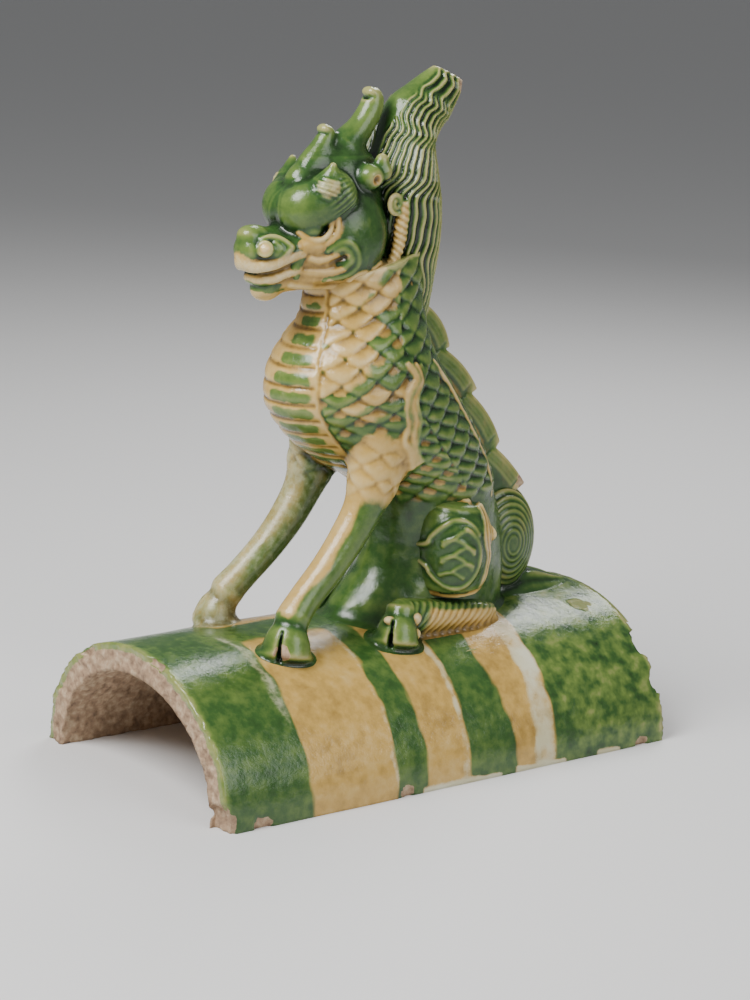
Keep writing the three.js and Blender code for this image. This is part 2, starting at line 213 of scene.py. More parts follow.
def loft(table, rows, sides, carve, squareness=2.0):
    """Loft over median slices, carved outward by carve(sheet), which gives the lift and the glaze."""
    t = np.linspace(0, len(table) - 1, int(rows / COARSE))
    front_y, front_z, back_y, back_z, half = blend(table, t).T
    centre = np.stack([0 * t, (front_y + back_y) / 2, (front_z + back_z) / 2], 1)
    forward = np.stack([0 * t, (front_y - back_y) / 2, (front_z - back_z) / 2], 1)
    reach = np.linalg.norm(forward, axis=1)
    forward = unit(forward)
    angle = 2 * np.pi * np.arange(int(sides / COARSE)) / int(sides / COARSE)
    cos = signed_power(np.cos(angle), 2 / squareness)
    sin = signed_power(np.sin(angle), 2 / squareness)
    points = centre[:, None] + forward[:, None] * (reach[:, None] * cos)[..., None]
    points[..., 0] += half[:, None] * sin
    lift, glaze = carve(Sheet(points, t, angle, centre))
    out = forward[:, None] * np.cos(angle)[None, :, None] + np.sin(angle)[None, :, None] * [1.0, 0, 0]
    return skin(points + unit(out) * lift[..., None], glaze)


def limb(table, across=(1, 0, 0), blunt=0.9, step=0.7, carve=None, paint=None, glaze=GREEN):
    """Rounded limb along a path of x, y, z, half size along `across`, half size at right angles to it.

    carve(length, angle) lifts the skin and paint(length, angle) glazes it, angle 0 towards `across`.
    """
    table = [row if len(row) == 5 else [*row, row[3]] for row in table]
    last = len(table) - 1
    spans = np.linalg.norm(np.diff(np.array(table)[:, :3], axis=0), axis=1)
    rows = max(int(spans.sum() / step / COARSE), 4 * last)
    cap = np.linspace(0, np.pi / 2, 6)[1:]
    t = np.linspace(0, last, rows)
    here = blend(table, t)
    ahead, behind = blend(table, np.minimum(t + 0.05, last)), blend(table, np.maximum(t - 0.05, 0))
    along = unit(ahead[:, :3] - behind[:, :3])
    nose = blunt * np.minimum(here[:, 3], here[:, 4])
    index = np.concatenate([np.zeros(5, int), np.arange(rows), np.full(5, rows - 1)])
    shrink = np.concatenate([np.cos(cap)[::-1], np.ones(rows), np.cos(cap)])
    shift = np.concatenate([-np.sin(cap)[::-1] * nose[0], np.zeros(rows), np.sin(cap) * nose[-1]])
    here, along = here[index], along[index]
    a = np.asarray(across, float) - along * (along @ np.asarray(across, float))[:, None]
    a = unit(a)
    b = np.cross(along, a)
    sides = int(np.clip(2 * np.pi * here[:, 3:].max() / step / COARSE, 12, 300))
    angle = np.broadcast_to(2 * np.pi * np.arange(sides) / sides, (len(index), sides))
    distance = np.interp(t, np.arange(last + 1), np.concatenate([[0], np.cumsum(spans)]))[index]
    distance = np.broadcast_to(distance[:, None], angle.shape)
    lift = carve(distance, angle) * shrink[:, None] if carve else 0
    size_a = (here[:, 3] * shrink)[:, None] + lift
    size_b = (here[:, 4] * shrink)[:, None] + lift
    centre = here[:, :3] + along * shift[:, None]
    rings = centre[:, None] + a[:, None] * (size_a * np.cos(angle))[..., None]
    rings = rings + b[:, None] * (size_b * np.sin(angle))[..., None]
    return skin(rings, paint(distance, angle) if paint else glaze)


def ball(centre, radii, pitch=0.0, carve=None, glaze=GREEN):
    """Ellipsoid turned about X by `pitch`, carved outward by carve(x, y, z) of the unit sphere."""
    rows = int(np.clip(max(radii) * 4 / COARSE, 14, 120))
    polar = np.linspace(0.02, np.pi - 0.02, rows)[:, None]
    angle = (2 * np.pi * np.arange(2 * rows) / (2 * rows))[None, :]
    x, y = np.sin(polar) * np.cos(angle), np.sin(polar) * np.sin(angle)
    z = np.broadcast_to(np.cos(polar), x.shape)
    lift = 1 + (carve(x, y, z) / np.mean(radii) if carve else 0)
    px, py, pz = x * radii[0] * lift, y * radii[1] * lift, z * radii[2] * lift
    cos, sin = math.cos(pitch), math.sin(pitch)
    rings = np.stack([px, py * cos - pz * sin, py * sin + pz * cos], 2) + np.asarray(centre, float)
    return skin(rings, glaze)


def slab(outline, half, glaze=GREEN):
    """Plate of an outline in the y-z plane, from -half to half in x, as quads with doubled corners."""
    flat = [(y, z, 0.0) for y, z in outline]
    triangles = tessellate_polygon([flat])
    n = len(outline)
    points = [(-half, y, z) for y, z in outline] + [(half, y, z) for y, z in outline]
    quads = [(a, b, c, c) for a, b, c in triangles]
    quads += [(c + n, b + n, a + n, a + n) for a, b, c in triangles]
    quads += [(i, (i + 1) % n, (i + 1) % n + n, i + n) for i in range(n)]
    return Form(points, quads, glaze)


# ---- distance fields ------------------------------------------------------


def melt(a, b, soft):
    """Smaller of two distances, rounded where they meet."""
    if soft <= 0:
        return np.minimum(a, b)
    near = np.maximum(soft - np.abs(a - b), 0) / soft
    return np.minimum(a, b) - near * near * soft / 4


def box_blur(value, reach):
    """Mean of a field over a cube of 2 * reach + 1 cells."""
    width = 2 * reach + 1
    for axis in range(3):
        padded = np.concatenate([np.repeat(value.take([0], axis), reach + 1, axis), value,
                                 np.repeat(value.take([-1], axis), reach, axis)], axis)
        total = np.cumsum(padded, axis, dtype=np.float64)
        size = value.shape[axis]
        high = total.take(np.arange(width, width + size), axis)
        value = ((high - total.take(np.arange(size), axis)) / width).astype(np.float32)
    return value


class Field:
    """Distance to a growing solid on a grid of voxels, in millimetres."""

    def __init__(self, low, high, voxel):
        self.voxel = voxel
        self.start = np.floor(np.array(low) / voxel).astype(int)
        self.shape = np.ceil(np.array(high) / voxel).astype(int) - self.start
        self.value = np.full(self.shape, BAND * voxel, np.float32)
        self.transform = vdb.createLinearTransform(voxelSize=voxel)
        self.forms = []

    def distances(self, form):
        """Distances to one form, and the part of the grid that they cover."""
        grid = vdb.FloatGrid.createLevelSetFromPolygons(
            form.points.astype(np.float32), quads=form.quads.astype(np.int32),
            transform=self.transform, halfWidth=BAND)
        low, high = grid.evalActiveVoxelBoundingBox()
        low = np.maximum(low, self.start)
        high = np.minimum(np.array(high) + 1, self.start + self.shape)
        part = np.empty(high - low, np.float32)
        grid.copyToArray(part, ijk=tuple(int(i) for i in low))
        return part, tuple(slice(a, b) for a, b in zip(low - self.start, high - self.start))

    def add(self, forms, soft, swell=0.0):
        """Melts forms into the solid, each swollen by `swell`."""
        for form in forms:
            part, where = self.distances(form)
            self.value[where] = melt(self.value[where], part - swell, soft)
            self.forms.append(form)

    def cut(self, forms, soft):
        """Hollows the solid with forms."""
        for form in forms:
            part, where = self.distances(form)
            self.value[where] = -melt(-self.value[where], part, soft)
            self.forms.append(form)

    def lay(self, path, proud):
        """Rows of x, y, z and radius of a cord laid `proud` of the solid's +X side along (y, z, radius)."""
        xs = self.axes()[0].ravel()
        xs = xs[xs > 0]
        rows = []
        for y, z, radius in path:
            line = np.stack([xs, np.full_like(xs, y), np.full_like(xs, z)], 1)
            inside = np.nonzero(self.sample(self.value, line) < 0)[0]
            surface = xs[inside[-1]] if len(inside) else 0
            rows.append([surface - radius + proud, y, z, radius])
        return rows

    def cord(self, path, proud, glaze):
        return limb(self.lay(path, proud), glaze=glaze)

    def axes(self):
        """The grid's millimetres along x, y and z, shaped to spread over it."""
        lines = [(self.start[i] + np.arange(self.shape[i])) * self.voxel for i in range(3)]
        return np.ix_(*lines)

    def mesh(self):
        grid = vdb.FloatGrid(BAND * self.voxel)
        grid.copyFromArray(self.value, ijk=tuple(int(i) for i in self.start))
        grid.transform = self.transform
        grid.gridClass = vdb.GridClass.LEVEL_SET
        points, _, quads = grid.convertToPolygons(isovalue=0.0, adaptivity=0.0)
        return np.asarray(points, float), np.asarray(quads, int)

    def sample(self, value, points):
        """Values of a field of this grid's shape at points."""
        place = points / self.voxel - self.start
        cell = np.clip(np.floor(place).astype(int), 0, self.shape - 2)
        f = np.clip(place - cell, 0, 1)
        total = np.zeros(len(points))
        for corner in np.ndindex(2, 2, 2):
            i, j, k = (cell + corner).T
            total += value[i, j, k] * np.prod(np.where(corner, f, 1 - f), axis=1)
        return total

    def curvature(self, points, reach):
        """Above 0 on ridges and below 0 in grooves that are about `reach` millimetres wide."""
        cells = max(int(round(reach / self.voxel / 2)), 1)
        return self.sample(box_blur(box_blur(self.value, cells), cells), points) / reach


# ---- the trunk ------------------------------------------------------------

# Front y, front z, back y, back z, half width, from the seat to the throat.
TRUNK = [
    [-24, 58, 78, 57, 30], [-18, 72, 81, 72, 29.5], [-3, 90, 80, 91, 28.5], [1, 110, 76, 112, 28.5],
    [-6, 130, 70, 130, 30], [-28, 146, 62, 147, 33.5], [-45, 159, 51, 166, 35],
    [-55.5, 174, 39, 182, 36], [-56, 189, 29, 197, 35], [-49, 203, 24, 211, 30.5],
    [-41, 214, 22, 223, 25], [-38.5, 224, 22, 236, 22.5], [-38, 236, 22, 250, 21],
]
SCALES_START = 3.7
PLATES_START = 4.6
PLATE_PITCH = 8.9
BORDER_NECK = 0.42
BORDER_CHEST = 0.63
FLAME_ANGLE = 1.72
SCALE_WIDTH = 17.5
SCALE_PITCH = 6.0


def round_at(sheet, angle):
    """Millimetres round each row from the front to the row's own angle."""
    columns = np.round(angle / (2 * np.pi) * sheet.round.shape[1]).astype(int)
    return np.take_along_axis(sheet.round, columns[:, None], 1)


def scales(around, down, width, pitch):
    """Overlapping lens-shaped scales: place across and along the scale on top, and its tag."""
    row = np.floor(down / pitch)

    def place(r):
        spot = around / width + 0.5 * (r % 2)
        column = np.floor(spot)
        across = 2 * (spot - column) - 1
        reach = pitch * (2 - np.abs(across) ** 1.7)
        return across, (down - r * pitch) / reach, column * 31 + r * 17

    upper, lower = place(row - 1), place(row)
    on_top = upper[1] < 1
    return [np.where(on_top, u, l) for u, l in zip(upper, lower)]


def scale_lift(u, v):
    """Soft cushion of a scale, highest near its rounded lower edge."""
    return (0.15 + 0.85 * ease(0, 0.75, v)) * (1 - 0.35 * u ** 2) * np.sqrt(np.clip(1.02 - v ** 7, 0, 1))


def chest_plates(sheet, border):
    """Lift and green share of the broad plates between the borders."""
    across = sheet.round / border
    share = (sheet.down / PLATE_PITCH) % 1
    bulge = np.sqrt(np.clip(1 - np.abs(2 * share - 1) ** 2.5, 0, 1))
    lift = 1.9 * bulge * (1 - 0.25 * across ** 2)
    ragged = 0.1 * sheet.noise(3)
    pool = ease(0.14, 0.34, share + ragged) * ease(0.95, 0.78, share + ragged)
    aside = np.abs(across * sheet.side - 0.38) + ragged
    pool = pool * ease(0.56, 0.42, aside)
    return lift, pool


def trunk_grooves(sheet):
    """Shallow upright folds in the belly wall under the chest."""
    folds = np.cos(sheet.round / 5.5 + 1.2 * np.sin(sheet.down / 19))
    return 0.5 * folds * ease(3.6, 3.0, sheet.t)


def carve_trunk(sheet):
    """Scales, chest plates and their border, with the glaze that runs over them and a painted highlight
    along the crest of each front scale.
    """
    height = sheet.points[..., 2]
    opening = ease(225, 185, height[:, 0])
    border = round_at(sheet, BORDER_NECK + (BORDER_CHEST - BORDER_NECK) * opening)
    plates, pool = chest_plates(sheet, border)
    beyond = sheet.round - border
    away = np.minimum(sheet.angle, 2 * np.pi - sheet.angle)
    flame = round_at(sheet, np.full(len(height), FLAME_ANGLE))
    front = away < FLAME_ANGLE
    wander = 1.3 * sheet.noise(15, 6)
    column = np.where(front, beyond + 0.12 * sheet.down, sheet.round - flame)
    u, v, tag = scales(column + wander, sheet.down + 2 + wander, SCALE_WIDTH, SCALE_PITCH)
    scaled = ease(SCALES_START - 0.1, SCALES_START + 0.35, sheet.t) * ease(2.95, 2.8, away)
    plated = ease(PLATES_START - 0.1, PLATES_START + 0.3, sheet.t)
    inside = beyond < 0
    ridge = np.exp(-(beyond / 1.2) ** 2) * plated
    lift = np.where(inside, plates * plated, 1.7 * scale_lift(u, v) * scaled * ease(0, 3, beyond))
    lift = np.maximum(lift, 1.3 * ridge) + trunk_grooves(sheet)
    lift = lift + 0.35 * sheet.noise(6, 21)

    luck = chance(tag)
    edge = 0.85 * np.maximum(ease(0.86, 1.0, v), ease(0.2, 0.0, v) * ease(0.9, 0.5, np.abs(u)))
    likely = 0.16 + 0.75 * ease(196, 160, height) + 0.3 * ease(14, 30, beyond)
    pooled = ease(0.12, -0.12, luck - likely) * ease(0.35, 0.55, v + 0.3 * np.abs(u)) * ease(1.0, 0.8, v)
    amber_side = np.clip(edge + 0.95 * pooled, 0, 1)
    green_side = 0.98 - 0.35 * ease(0.75, 0.9, v) * ease(1.0, 0.93, v) - 0.2 * ease(0.8, 1, np.abs(u))
    green = np.where(front, amber_side, green_side)
    below = ease(4.6, 3.6, sheet.t)
    green = green * scaled + (1 - scaled) * 0.95 * below
    green = np.where(inside, pool * plated + (1 - plated) * 0.85 * below, green)
    green = green * (1 - 0.9 * ridge)
    # A pale band along the crest of each front scale: a painted highlight.
    pale = 0.3 * ease(0.6, 0.8, v) * ease(0.95, 0.85, v) * scaled * front * (1 - pooled)
    return lift, np.stack([np.clip(green, 0, 1), pale, 0 * green], 2)


def trunk():
    return loft(TRUNK, 330, 380, carve_trunk)


def flames(field):
    """Wavy cords that run down together behind the shoulder."""
    left = [(-6, 197), (-1.5, 190.5), (-6.5, 183.5), (-7.5, 175), (-5.5, 168), (-7, 161), (-3.5, 155),
            (0.5, 147)]
    right = [(1.5, 196), (3.5, 188.5), (-1.5, 182.5), (-2, 176), (0.5, 170), (-0.5, 164), (0, 157),
             (4, 149)]
    strands = [(0.0, 1.9, BUFF), (0.42, 1.3, OLIVE), (0.8, 1.6, BUFF), (1.25, 1.3, OLIVE)]
    cords = []
    for share, radius, glaze in strands:
        path = [(a + share * (c - a), b + share * (d - b), radius) for (a, b), (c, d) in zip(left, right)]
        cords.append(field.cord(path, 1.1, glaze))
    return cords


def crest_cord(field):
    path = [(15.5, 195.5), (27.5, 182.5), (36.5, 169.5), (44, 158), (53, 145), (57, 134.5), (59, 124)]
    return field.cord([(y, z, 1.5) for y, z in path], 1.1, BUFF)


# Each lobe of the back fin: y, z where it starts, of its shoulder and of its hooked tip.
CREST = [
    [30, 217, 41, 209, 43.5, 197], [39.5, 196, 55, 187, 62, 174],
    [58, 172, 73, 160, 78.5, 145.5], [76, 142, 87, 134, 96, 122],
]


def curve(y, z, shoulder_y, shoulder_z, tip_y, tip_z, steps):
    """Points of y, z on the rounded back of a lobe."""
    f = np.linspace(0, 1, steps)[:, None]
    start, shoulder, tip = np.array([[y, z], [shoulder_y, shoulder_z], [tip_y, tip_z]], float)
    return (1 - f) ** 2 * start + 2 * f * (1 - f) * shoulder + f ** 2 * tip


def crest():
    outline = [(18, 215)]
    for lobe in CREST:
        outline += [tuple(p) for p in curve(*lobe, 10)]
    outline += [(86, 116), (64, 112), (50, 140), (30, 172)]
    return slab(outline, 2.2, OLIVE)


def crest_ribs():
    """Low ribs that follow each lobe on both faces of the fin."""
    ribs = []
    for lobe in CREST:
        path = curve(*lobe, 6)
        for share in (2.6, 5.2, 7.8):
            inner = path - share * np.array([0.62, 0.55])
            ribs.append(limb([[2.7, y, z, 0.9] for y, z in inner[:-1]], glaze=OLIVE))
    return ribs


# ---- legs -----------------------------------------------------------------


def outer_height(x):
    """Height of the tile's back at a distance from its middle."""
    share = min(abs(x) / TILE_HALF, 1)
    return TILE_RISE * (1 - share ** TILE_ROUNDNESS) ** (1 / TILE_ROUNDNESS)


TOE_SPLAY = 0.6
# Place and size of each pair of hooves.
FORE_HOOF = (31.2, -68.8, 0.93)
HIND_HOOF = (35.2, -6.8, 0.84)


def hoof(x, y, size, glaze=GREEN):
    """Hoof on the curve of the tile, and the blade that cleaves its two toes."""
    forward = np.array([math.sin(TOE_SPLAY), -math.cos(TOE_SPLAY), 0])
    side = [math.cos(TOE_SPLAY), math.sin(TOE_SPLAY), 0]
    rows = []
    profile = [(-7, 19, 7.8, 7.5), (-5, 14.5, 8.6, 8.2), (-2, 8.5, 11.6, 10.5), (0, 1, 13.2, 12)]
    for ahead, up, across, deep in profile:
        px, py, _ = np.array([x, y, 0]) + forward * ahead * size
        rows.append([px, py, outer_height(x) + up * size, across * size, deep * size])
    body = limb(rows, across=side, blunt=0.3, glaze=glaze)
    foot, tip = np.array([x, y, 0]) + forward * 13.5 * size, np.array([x, y, 0]) + forward * 7 * size
    ground = outer_height(x)
    blade = limb([[*foot[:2], ground + 0.5, 1.6, 7], [*foot[:2], ground + 8, 1.3, 7],
                  [*tip[:2], ground + 16 * size, 0.4, 3]], across=side, glaze=GREEN)
    return body, blade


def shoulder_scales(length, angle):
    """Scales that run on from the trunk over the top of the foreleg."""
    u, v, _ = scales(11 * angle + 3, length + 3, 15.0, SCALE_PITCH)
    return 1.1 * scale_lift(u, v) * ease(36, 22, length)


def foreleg(near):
    """Foreleg: the near one green with amber along its front edge, the far one whitish."""
    rows = [
        [24, -11, 160, 11, 19], [25, -16, 142, 10.5, 13.5], [25, -22, 127, 9.2, 10], [25, -31, 113, 8.4, 9],
        [25.5, -42, 100, 8, 8.2], [26.5, -55, 87.5, 7.8, 7.8], [28, -62.5, 80, 8.2, 8.2],
    ]

    def paint(length, angle):
        turned = (angle + np.pi) % (2 * np.pi) - np.pi
        streak = 0.12 * np.sin(length / 9) + 0.08 * np.sin(length / 4 + 2)
        side = ease(1.25, 0.75, np.abs(turned + 0.35) + streak) * ease(24, 38, length)
        rear = ease(1.9, 2.4, np.abs(turned - 0.3) + streak)
        outer = np.maximum(side, rear if near else 0.35 * rear)[..., None]
        front = BUFF if near else WHITISH
        return between(front, GREEN if near else PALE_GREEN, outer)

    return limb(rows, carve=shoulder_scales, paint=paint)


def feathered(length, angle):
    """Slanting locks along the outer side of the lower hind leg."""
    outer = ease(0.0, 0.4, np.cos(angle + 0.3))
    return 0.7 * np.abs(np.sin(np.pi * (length / 4.2 + 1.5 * np.sin(angle)))) * outer


def shank():
    rows = [[27, 56, 66, 5, 4.5], [28, 46, 67, 8, 6.5], [28.5, 30, 68.5, 8.8, 7.5],
            [29.5, 12, 70.5, 8.8, 8.5], [31, -1, 72, 8, 9]]

    def paint(length, angle):
        top = ease(0.3, 0.75, np.sin(angle)) * ease(60, 30, length) + ease(42, 52, length)
        return between(BUFF, GREEN, np.clip(top, 0, 1)[..., None])

    return limb(rows, carve=feathered, paint=paint)


def fetlocks():
    """Small knobs at the back and sides of the hind hoof."""
    return [
        ball([38.5, 2.5, 72], [2.4, 2.8, 2.8], glaze=CREAM),
        ball([40.5, 1.5, 65], [2, 2.4, 2.6], glaze=BUFF),
        ball([36.5, -12.5, 73], [2.4, 2.6, 1.9], glaze=BUFF),
    ]


HAUNCH = {"x": 24, "y": 34, "outward": 18.5, "along": 18.5}
SWIRL = {"y": 26.5, "z": 101, "along": 11.5, "up": 17}


def haunch():
    x, y, outward, along = HAUNCH.values()
    rows = [[x, y, 84, outward - 2.5, along - 1.5], [x, y, 96, outward, along],
            [x, y, 112, outward, along], [x, y + 1, 120, outward - 4, along - 3]]
    return limb(rows, blunt=0.4, glaze=GREEN)


def swirl(field):
    """Ring on the haunch, the veins of the leaf inside it, and the seams above and below."""
    ring = []
    for k in range(25):
        turn = 2 * math.pi * 1.1 * k / 24 + 0.6
        shrink = 1 - 0.2 * ease(0.75, 1, k / 24)
        y = SWIRL["y"] + SWIRL["along"] * shrink * math.cos(turn)
        z = SWIRL["z"] + SWIRL["up"] * shrink * math.sin(turn)
        ring.append((y, z, 1.4))
    veins = []
    for k, start in enumerate((-1.1, -0.75, -0.4, -0.05, 0.3, 0.65, 1.0)):
        side = 1 if k % 2 else -1
        path = []
        for step in range(5):
            along, bend = step / 4 - 0.5, math.sin(step / 4 * math.pi)
            y = SWIRL["y"] + 0.8 * SWIRL["along"] * (along * 1.5 + 0.15 * side * bend)
            z = SWIRL["z"] + 0.7 * SWIRL["up"] * (start + 0.5 * side * along + 0.35 * bend)
            reach = math.hypot((y - SWIRL["y"]) / SWIRL["along"], (z - SWIRL["z"]) / SWIRL["up"])
            if reach < 0.85:
                path.append((y, z, 1.0))
        if len(path) > 1:
            veins.append(field.cord(path, 0.8, OLIVE))
    seam = [(13.5, 112, 1.5), (15.5, 119.5, 1.7), (20, 124, 1.8), (28, 126, 1.9), (37, 124.5, 1.8),
            (45, 125, 1.8)]
    hem = [(14, 83, 1.6), (20, 80.5, 1.8), (30, 79.5, 1.9), (40, 80.5, 1.8), (48, 82, 1.6)]
    return [field.cord(ring, 1.0, OLIVE), *veins, field.cord(seam, 1.1, AMBER), field.cord(hem, 1.1, AMBER)]


def haunch_locks(field):
    """Wavy locks that fall behind the haunch."""
    fall = [(122, 0), (117, 0.8), (111, -0.6), (105, 0.4), (98, 3.2), (92, 2.2), (86, 1.2), (80, -0.8)]
    locks = []
    for k in range(6):
        rows = []
        for z, sway in fall:
            rows.append((41 + 3.0 * k + sway * (1 + 0.1 * k), z, 1.8 if k % 2 else 1.5))
        locks.append(field.cord(rows, 1.3, BUFF if k % 2 else MIXED))
    return locks


# ---- tail -----------------------------------------------------------------

TAIL = {"y": 83.5, "z": 93.5, "thick": 13, "along": 21, "up": 28.5}


def carve_tail(x, y, z):
    """Spiral strands on both faces of the curled tail."""
    share = np.hypot(y, z)
    turn = np.arctan2(z, y)
    strands = np.abs(np.cos(np.pi * 9 * share - 0.5 * turn * np.sign(x)))
    return (1.1 * strands - 0.6) * ease(0.08, 0.2, share)


def tail():
    y, z, thick, along, up = TAIL.values()
    return ball([0, y, z], [thick, along, up], carve=carve_tail, glaze=OLIVE)


def tail_tip():
    rows = [[0, 84, 64, 10, 10], [0, 98, 67, 10, 9.5], [0, 110, 66.5, 8.5, 7.5],
            [0, 121, 66, 5, 3.5], [0, 126, 65.5, 2, 1.6]]
    return limb(rows, carve=lambda length, angle: 0.6 * np.cos(7 * angle), glaze=GREEN)


# ---- head -----------------------------------------------------------------

MANE = [
    [2, 204, 28, 209, 8], [0, 228, 29.5, 231, 14], [-6, 250, 31, 252, 18.5], [-10, 268, 30, 270, 21],
    [-8, 284, 27, 285, 20.5], [-3, 297, 25.5, 297, 17.5], [1, 309, 30, 304, 14],
    [6, 319.5, 36.5, 309, 11], [15, 325.5, 41, 316, 8.5], [24, 331, 44.6, 322.5, 6],
    [29.5, 334, 45.5, 327, 3.5],
]
MANE_LOCKS = 30
MANE_LEAN = 0.9


def carve_mane(sheet):
    """Thin flowing ridges between wider grooves, and a smooth roll along the front of the tip."""
    away = np.minimum(sheet.angle, 2 * np.pi - sheet.angle)
    lean = MANE_LEAN * ease(2.0, 5.6, sheet.t)
    sway = 0.08 * np.sin(4.0 * sheet.t + 0.8 * away) + 0.03 * np.sin(7.1 * sheet.t + 2 * away)
    flow = away + sway - lean
    wave = np.abs(np.cos(flow * MANE_LOCKS / 2))
    fewer = np.abs(np.cos(flow * MANE_LOCKS / 4))
    thin = ease(7.2, 8.6, sheet.t)
    strand = (1 - thin) * wave + thin * fewer
    roll = 0.1 + 0.5 * ease(5.4, 6.8, sheet.t)
    combed = ease(roll, roll + 0.15, away)
    lift = (1.9 * strand ** 1.8 - 0.9) * combed
    green = 0.97 - 0.3 * ease(0.75, 1, strand) * combed
    return lift, np.stack([green, 0.12 * ease(0.8, 1, strand) * combed, 0 * green], 2)


def mane():
    return loft(MANE, 260, 320, carve_mane, squareness=2.2)


def skull():
    return [
        ball([0, -25, 262], [20.5, 25, 27]), ball([0, -23, 280], [14.5, 20, 20], pitch=-0.5),
        ball([0, -42, 256], [17.5, 16, 13], glaze=MIXED),
    ]


def cheek():
    return ball([8.5, -24, 254], [14, 19, 22])


def hair(length, angle):
    """Combed strokes round the rear end of a brow."""
    return 0.3 * np.sin(angle * 24 + 0.25 * length) * ease(14, 19, length)


BROW_PAD = [5.5, 7.2, 5.8]


def brow_strokes(x, y, z):
    """Fine hairs across the pale pad of a brow."""
    return 0.5 * np.cos(2 * np.pi * (BROW_PAD[2] * z + 0.32 * BROW_PAD[1] * y) / 2.1)


def brow():
    rows = [[4, -51.5, 269, 11.5, 10], [8.5, -50, 270, 12, 10], [13, -41.5, 274.5, 11, 9],
            [16, -34.5, 279, 10, 7.5]]
    point = limb([[15, -41, 283, 6.5], [16, -40.5, 287.5, 3.6], [16.5, -40, 290.5, 1.6]])
    pad = ball([17.3, -42.3, 279.4], BROW_PAD, carve=brow_strokes, glaze=WHITISH)
    return limb(rows, across=(0, 0, 1), step=0.35, carve=hair), point, pad


def eye():
    globe = ball([11.9, -48.2, 260.6], [4.9, 5.2, 4.4], glaze=GREEN)
    lower = [[11.9, -55, 259.8, 1.2], [13.7, -52, 257.2, 1.3], [15.7, -48.5, 256.2, 1.4],
             [16.8, -44.3, 256.8, 1.4], [17.4, -41, 260.3, 1.3], [17.4, -40.2, 264.5, 1.1]]
    second = [[17, -42.5, 254.6, 1.1], [18.3, -38.8, 258.5, 1.2], [18.8, -37.6, 262.5, 1.2],
              [18.7, -38, 266.5, 1]]
    return globe, limb(lower, glaze=AMBER), limb(second, glaze=BUFF)


def muzzle():
    upper = [[0, -46, 254, 16, 9], [0, -58, 252, 14.5, 8], [0, -68, 251.5, 13.2, 7.5],
             [0, -75, 251, 8.5, 6]]
    middle = [[0, -42, 246, 16.5, 8], [0, -54, 244, 13.2, 7], [0, -64, 242.5, 11, 6.5],
              [0, -71, 241.5, 7, 5]]
    lower = [[0, -16, 242, 16.5, 9.5], [0, -36, 240, 16.5, 8], [0, -52, 237.5, 13, 7],
             [0, -65, 235.5, 8.5, 6]]
    chin = ball([0, -65.5, 231.5], [6, 6.5, 5], glaze=BUFF)
    return [limb(upper, glaze=GREEN), limb(middle, glaze=AMBER), limb(lower, glaze=AMBER), chin]


def rounded_lip(half, tip, glaze):
    """A roll from one mouth corner round the front to the other."""
    other = [[-x, *rest] for x, *rest in reversed(half)]
    return limb([*half, tip, *other], across=(0, 0, 1), glaze=glaze)


def lips():
    """Rolled lips, the upper one over the lower, taller than they are thick."""
    upper = [[13.6, -53.5, 250, 1.6, 1.4], [13.4, -58, 249.2, 2.1, 1.8], [11.9, -64, 246.8, 2.6, 2.1],
             [9.4, -70, 244.4, 3.1, 2.4], [5.6, -74.8, 244, 3.6, 2.9]]
    lower = [[12.6, -55, 242.2, 1.5, 1.4], [11.4, -61, 240.6, 1.9, 1.8], [9.4, -66, 238.6, 2.3, 2],
             [5.4, -70.6, 237.4, 2.6, 2.4]]
    return [
        rounded_lip(upper, [0, -77.6, 246.2, 4.8, 3.6], CREAM),
        rounded_lip(lower, [0, -72.8, 237.8, 2.8, 2.6], CREAM),
    ]


def mouth_line():
    """Groove between the closed lips."""
    half = [[15.5, -55, 246.4, 0.9], [14, -60.5, 244.2, 1.1], [11.8, -66.5, 241.6, 1.2],
            [7.4, -73, 240.6, 1.3]]
    return rounded_lip(half, [0, -76.5, 240.9, 1.3], GREEN)


def nose():
    front = [[0, -71, 257, 5.6, 5], [0, -74, 257.2, 5.2, 4.6], [0, -76.2, 253, 5.6, 3.8],
             [0, -76.4, 248.5, 6, 3.4]]
    block = limb(front, blunt=0.6)
    ridge = limb([[0, -58, 256, 6, 5.5], [0, -66, 256.4, 5.4, 4.6], [0, -73, 257, 5, 4]])
    return [block, ridge, ball([0, -76.6, 258.4], [4.2, 3, 2.8], glaze=OLIVE)]


def nostril():
    """Raised ring with a low dome in it, and the winged fold behind it."""
    centre = np.array([10.3, -72.6, 252.6])
    out = unit(np.array([0.75, -0.62, 0.22]))
    along = unit(np.cross([0, 0, 1], out))
    up = np.cross(out, along)
    ring = []
    for k in range(13):
        turn = 2 * math.pi * k / 12
        ring.append([*(centre + 3.1 * (math.cos(turn) * along + math.sin(turn) * up)), 0.95])
    dome = ball(centre - 0.8 * out, [2.6, 2.6, 2.6], glaze=CLAYEY)
    wing = limb([[7.2, -73, 256.6, 1], [8.7, -69.5, 257.8, 1.4], [10.3, -65.8, 257.4, 1.5],
                 [12.6, -62.3, 255.3, 1.5], [14, -60.2, 253.2, 1.3]])
    # The fold is glazed whitish as a painted highlight.
    fold = limb([[14, -60.4, 253, 1.2], [13.6, -62.8, 250.8, 1.2], [12.2, -65.5, 248.6, 1]], glaze=WHITISH)
    inner = limb([[11.2, -67.6, 255.4, 0.9], [12.6, -65.2, 253, 1], [12, -67.6, 250, 0.9]])
    return limb(ring, glaze=OLIVE), dome, wing, fold, inner


